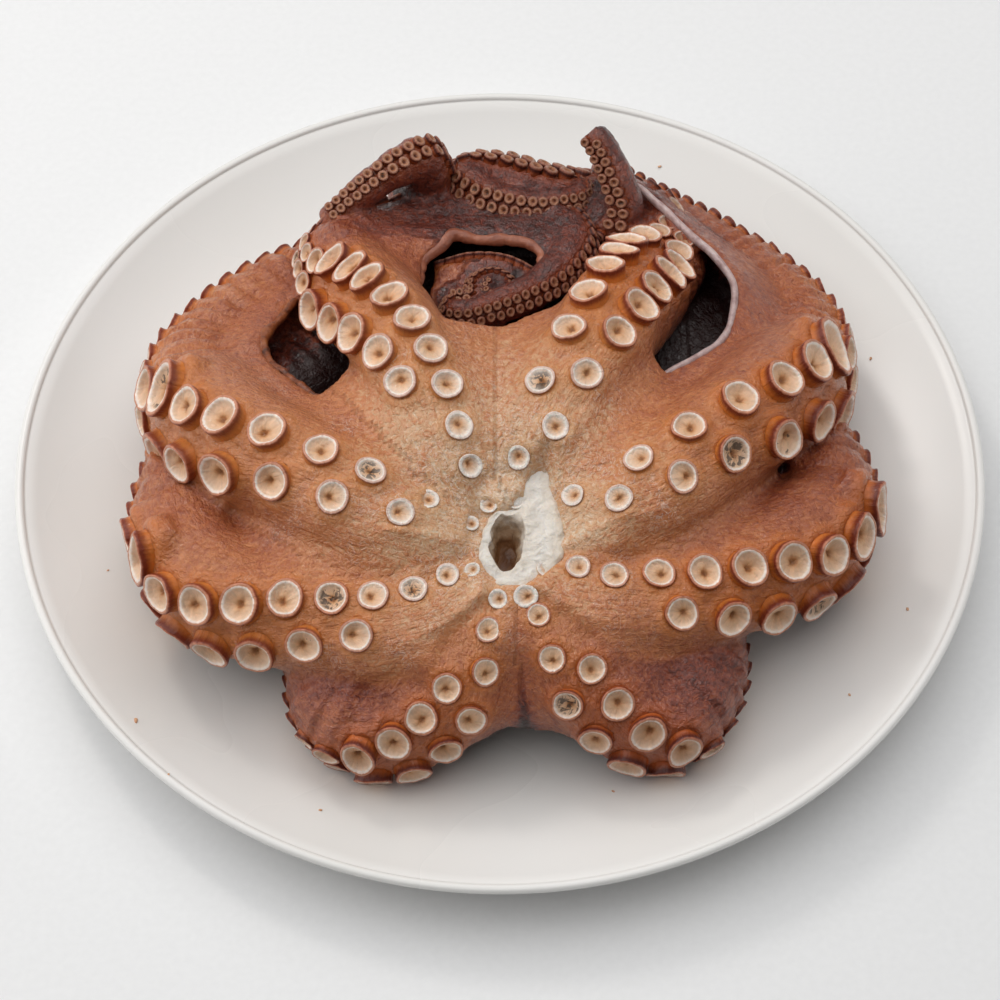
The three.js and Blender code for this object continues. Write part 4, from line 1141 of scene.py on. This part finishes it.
def boiled_skin():
    """Octopus skin boiled in salted water: gelled, wet and finely wrinkled, cream to purple-brown,
    with a lace of painted highlights over the crown: pale glints of the wet film laid into the colour."""
    m, place = new_material("boiled_octopus_skin")
    # tone: how dark the skin has cooked, with painted shade laid into it low under the webs and in
    # enclosed hollows.
    tone, back, collar, clear = (attribute(m, n) for n in ("tone", "back", "collar", "clear"))
    # Blotches of 17 mm, swellings of 4 mm and specks of 1.6 mm. The strands are 1.4 mm across,
    # about three times as coarse as they are, so that they show, and drawn out along the arm.
    blotch = noise(m, place, 60.0, 6.0, 0.62)
    swell = noise(m, place, 230.0, 3.0, 0.55)
    speck = noise(m, place, 620.0, 3.0, 0.6, 0.8)
    drawn_out = node(m, "ShaderNodeMapping", [("Vector", attribute(m, "lie", "Vector"))],
                     inputs={"Scale": (0.28, 1.0, 1.0)}).outputs[0]
    strands = noise(m, drawn_out, 700.0, 4.0, 0.6, 0.5)
    fibre = mean_of(m, [("Factor", clear), ("B", strands)], A=0.5)
    level = reckon(m, "MULTIPLY_ADD", back, 0.14, tone)
    for pattern, share in ((blotch, 0.36), (speck, 0.58), (fibre, 0.30)):
        level = reckon(m, "MULTIPLY_ADD", pattern, share, level)
    tint = ramp(m, reckon(m, "SUBTRACT", level, 0.60), SKIN_STOPS)
    near_cup = reckon(m, "MULTIPLY", collar, 0.7)
    ringed = blend(m, near_cup, tint, ramp(m, tone, WALL_STOPS))
    # Painted highlights: a lace of pale glints of the wet film, drawn from lines where a wandering noise
    # passes its middle value, on the paler skin.
    wander = reckon(m, "SUBTRACT", noise(m, place, 260.0, 3.0, 0.6, 1.6), 0.5)
    glint_thread = remap(m, reckon(m, "ABSOLUTE", wander), 0.008, 0.035, 1.0, 0.0)
    glint_share = remap(m, reckon(m, "SUBTRACT", blotch, tone), 0.16, 0.46, 0.0, 0.5)
    glinted = blend(m, reckon(m, "MULTIPLY", glint_thread, glint_share), ringed, "#f0dfd0")
    bump = relief(m, (swell, 0.6, 0.0014), (fibre, 0.8, 0.0010), (speck, 0.8, 0.0009))
    return surface(m, glinted, bump, remap(m, fibre, 0.3, 0.7, 0.34, 0.55), FLESH_INDEX,
                   ("Coat Normal", bump), Subsurface_Weight=0.10, Subsurface_Scale=1.0,
                   Subsurface_Radius=(0.0030, 0.0014, 0.0008),
                   Coat_Weight=0.8, Coat_Roughness=0.10, Coat_IOR=1.45)


def sucker_flesh(name, cup_stops):
    """A boiled sucker: amber wall, dark line, pink lip, chalk white inner ring and a cream
    floor with faint folds; a few hold dark grit. Where the tone is palest it is chalky all in."""
    m, place = new_material(name)
    profile, tone, age = (attribute(m, n) for n in ("profile", "tone", "age"))
    folds = noise(m, attribute(m, "round", "Vector"), 3.2, 5.0, 0.6, 0.8)
    patches = noise(m, attribute(m, "floor", "Vector"), 5.0, 4.0, 0.6, 0.9)
    speck = noise(m, place, 750.0, 4.0, 0.65)      # 1.3 mm, twice as coarse as the flesh's grain
    frayed = reckon(m, "MULTIPLY_ADD", folds, 0.09, profile)
    along = reckon(m, "SUBTRACT", reckon(m, "MULTIPLY_ADD", speck, 0.07, frayed), 0.08)
    stained = blend(m, remap(m, tone, 0.5, 0.95, 0.0, 0.72), ramp(m, along, cup_stops), "#8a4e36")
    line = ramp(m, along, [(0.24, "#000000"), (0.335, "#ffffff"), (0.395, "#ffffff"),
                           (0.425, "#000000")])
    edged = blend(m, line, ramp(m, tone, WALL_STOPS), ramp(m, tone, RIM_STOPS))
    inside = ramp(m, along, [(0.38, "#000000"), (0.42, "#ffffff")])
    tint = blend(m, inside, edged, stained)
    gritty = remap(m, age, 0.88, 0.95, -0.30, 0.02)
    lain = remap(m, reckon(m, "ADD", patches, gritty), 0.50, 0.56, 0.0, 0.85)
    on_floor = remap(m, along, 0.64, 0.70, 0.0, 1.0)
    soiled = blend(m, reckon(m, "MULTIPLY", lain, on_floor), tint, "#4a4038")
    ring = ramp(m, along, [(0.36, "#000000"), (0.43, "#ffffff"), (0.64, "#ffffff"),
                           (0.74, "#8c8c8c"), (0.86, "#000000")])
    pale = remap(m, tone, 0.12, 0.34, 0.9, 0.0)
    chalky = blend(m, reckon(m, "MULTIPLY", pale, ring), soiled, "#fbf2e8")
    weathered = reckon(m, "MULTIPLY", remap(m, folds, 0.3, 0.7, 0.90, 1.06),
                       remap(m, patches, 0.3, 0.7, 0.90, 1.08))
    worn = node(m, "ShaderNodeVectorMath", [(0, chalky), (1, weathered)],
                operation="MULTIPLY").outputs[0]
    bump = relief(m, (folds, 0.5, 0.0008), (patches, 0.6, 0.0012), (speck, 0.6, 0.0005))
    return surface(m, worn, bump, 0.36, FLESH_INDEX, Subsurface_Weight=0.16,
                   Subsurface_Scale=1.0, Subsurface_Radius=(0.0007, 0.0004, 0.0003),
                   Coat_Weight=0.35, Coat_Roughness=0.10, Coat_IOR=JUICE_INDEX)


def simple_flesh(name, stops, grain_mm, bump_mm, roughness, translucency, by_depth=0.0):
    """Boiled flesh of one kind: mottled between a few colours, wet, with a grain in its relief.
    by_depth: how much of the colour is read from the depth attribute, not from the mottling."""
    m, place = new_material(name)
    mottle = noise(m, place, 1000 / (grain_mm * 4), 6.0, 0.65)
    grain = noise(m, place, 1000 / grain_mm, 3.0, 0.6)
    share = mean_of(m, [("A", mottle), ("B", attribute(m, "depth"))], Factor=by_depth)
    return surface(m, ramp(m, share, stops), relief(m, (grain, 0.7, bump_mm * MM)), roughness,
                   FLESH_INDEX, Subsurface_Weight=translucency, Subsurface_Scale=1.0,
                   Subsurface_Radius=(0.004, 0.003, 0.002),
                   Coat_Weight=0.3, Coat_Roughness=0.15, Coat_IOR=JUICE_INDEX)


def plate_glaze():
    """Glossy white glaze on stoneware: nearly flawless, a trace of waviness in its gloss."""
    m, place = new_material("white_stoneware_glaze")
    wave = noise(m, place, 28.0, 2.0)              # 36 mm
    smear = noise(m, place, 12.0, 2.0, 0.4)        # 83 mm
    return surface(m, ramp(m, smear, [(0.3, "#ebe9e5"), (0.7, "#f0eeeb")]),
                   relief(m, (wave, 0.08, 0.002)), remap(m, smear, 0.4, 0.7, 0.27, 0.30), 1.5)


def table_top():
    """A plain pale table, its paint's grain 2.5 mm."""
    m, place = new_material("pale_table_paint")
    tint = ramp(m, noise(m, place, 400.0, 3.0), [(0.3, "#eeeeee"), (0.7, "#f1f1f1")])
    return surface(m, tint, None, 0.6, 1.5)


# ---- the pieces --------------------------------------------------------------------

def dress(piece, material, slot, *replaced):
    """Gives a piece its material, and tells the frame what it rides on and stands for."""
    piece.data.materials.clear()
    piece.data.materials.append(material)
    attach(piece, "root")
    if replaced:
        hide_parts(*replaced)
    return piece


LARGE_CUP = 6.6            # from this breadth on, a cup is drawn in full
CROWN_REACH = 60.0         # and so is every cup this near the mouth

cups = cup_frames()
full_cup = (cups[:, 9] >= LARGE_CUP) | (cups[:, 10] < CROWN_REACH) & (cups[:, 13] < 1)
skin, cups = build_skin(cups)
dress(skin, boiled_skin(), "octopus_skin", "octopus")
sucker = sucker_flesh("boiled_sucker", CUP_STOPS)
in_fan = cups[:, 13] > 0.5
dress(cup_shells("suckers_crown", cups[full_cup & ~in_fan], CUP_PROFILE, 30, 1.0), sucker,
      "octopus_skin")
dress(cup_shells("suckers_fan", cups[full_cup & in_fan], CUP_PROFILE, 20, 1.0), sucker,
      "octopus_skin")
dress(cup_shells("suckers_small", cups[~full_cup & (cups[:, 9] > 1.8)],
                 BUTTON_PROFILE, 12, 0.6),
      sucker_flesh("boiled_sucker_button", BUTTON_STOPS), "octopus_skin")
# The mouth flesh's colour is read mostly from its depth: the brown down the well is painted shade, and
# the white over the crest is the flesh's own.
dress(build_mouth(points_of(skin.data)), simple_flesh(
    "boiled_mouth_flesh", [(0.14, "#6b4326"), (0.24, "#8d6442"), (0.34, "#b89c80"),
                           (0.42, "#e2d6c8"), (0.62, "#eae2d8"), (0.80, "#dccbb8"),
                           (0.93, "#cba988")],
    1.0, 0.5, 0.34, 0.2, by_depth=0.78), "octopus_skin")
dress(edge_tube("ring_lip", "ring_lip", 1.9, 1.1, 0.28, 20), simple_flesh(
    "boiled_web_lip", [(0.35, "#7d4534"), (0.6, "#a4654c")], 1.6, 0.5, 0.3, 0.15),
    "octopus_skin")
dress(edge_tube("cut_edge", "cut_sheet", 1.6, 0.75, 0.12, 30), simple_flesh(
    "cut_web_edge", [(0.35, "#9d7f7c"), (0.5, "#bfa5a2"), (0.7, "#d2c0bd")], 1.2, 0.4, 0.28, 0.2),
    "octopus_skin")
dress(edge_tube("ragged_edge", "ragged_sheet", 1.5, 1.0, 0.6, 40), simple_flesh(
    "torn_web_edge", [(0.35, "#45231a"), (0.52, "#8c4c2b"), (0.7, "#a8683c")], 1.3, 0.9, 0.35, 0.15),
    "octopus_skin")
dress(build_plate(), plate_glaze(), "plate_glaze", "plate")
dress(build_crumbs(), simple_flesh(
    "crumbs_of_boiled_skin", [(0.3, "#c98a62"), (0.7, "#dfb08c")], 1.0, 0.2, 0.5, 0.2),
    "octopus_skin")


# ---- table, light and camera -------------------------------------------------------

def build_stage():
    floor = new_mesh("table", np.array([[-3000, -3000, 0], [3000, -3000, 0], [3000, 3000, 0],
                                        [-3000, 3000, 0]], float), np.array([[0, 1, 2, 3]]))
    floor.data.materials.append(table_top())


def add_light(name, place, target, size, power, tint="#ffffff"):
    """A square soft light at a place, in metres, turned towards a target."""
    data = bpy.data.lights.new(name, "AREA")
    data.shape = "RECTANGLE"
    data.size, data.size_y = size
    data.energy = power
    data.color = colour(tint)[:3]
    lamp = bpy.data.objects.new(name, data)
    lamp.location = place
    lamp.rotation_euler = (Vector(target) - Vector(place)).to_track_quat("-Z", "Y").to_euler()
    bpy.context.scene.collection.objects.link(lamp)


def set_light():
    """A dim pale room, a broad soft light overhead and a smaller one behind on the left."""
    world = bpy.data.worlds.new("studio")
    world.use_nodes = True
    background = world.node_tree.nodes["Background"]
    background.inputs["Color"].default_value = colour("#f4f6f8")
    background.inputs["Strength"].default_value = 0.07
    bpy.context.scene.world = world
    add_light("overhead", (-0.22, 0.26, 1.35), (0, 0.0, 0), (2.6, 2.2), 26.0, "#ffffff")
    add_light("left card", (-1.00, 0.05, 0.40), (0, 0, 0.03), (0.9, 0.6), 3.0, "#ffffff")
    add_light("right card", (1.00, 0.10, 0.40), (0, 0, 0.03), (0.9, 0.6), 1.6, "#ffffff")
    add_light("window", (-0.55, 0.75, 1.10), (0, 0, 0.03), (0.20, 0.26), 2.2, "#fffaf4")
    bpy.context.scene.view_settings.view_transform = "Standard"


def set_camera():
    """A 90 mm lens, 817 mm from the middle of the octopus and 56 degrees above the table."""
    elevation, distance = math.radians(56.15), 0.817
    target = Vector((0, -0.0204, 0.024))
    data = bpy.data.cameras.new("camera")
    data.lens, data.sensor_width = 90.0, 36.0
    data.clip_start, data.clip_end = 0.01, 20.0
    camera = bpy.data.objects.new("camera", data)
    camera.location = target + Vector((0, -math.cos(elevation), math.sin(elevation))) * distance
    camera.rotation_euler = (math.pi / 2 - elevation, 0, 0)
    bpy.context.scene.collection.objects.link(camera)
    bpy.context.scene.camera = camera


build_stage()
set_light()
set_camera()
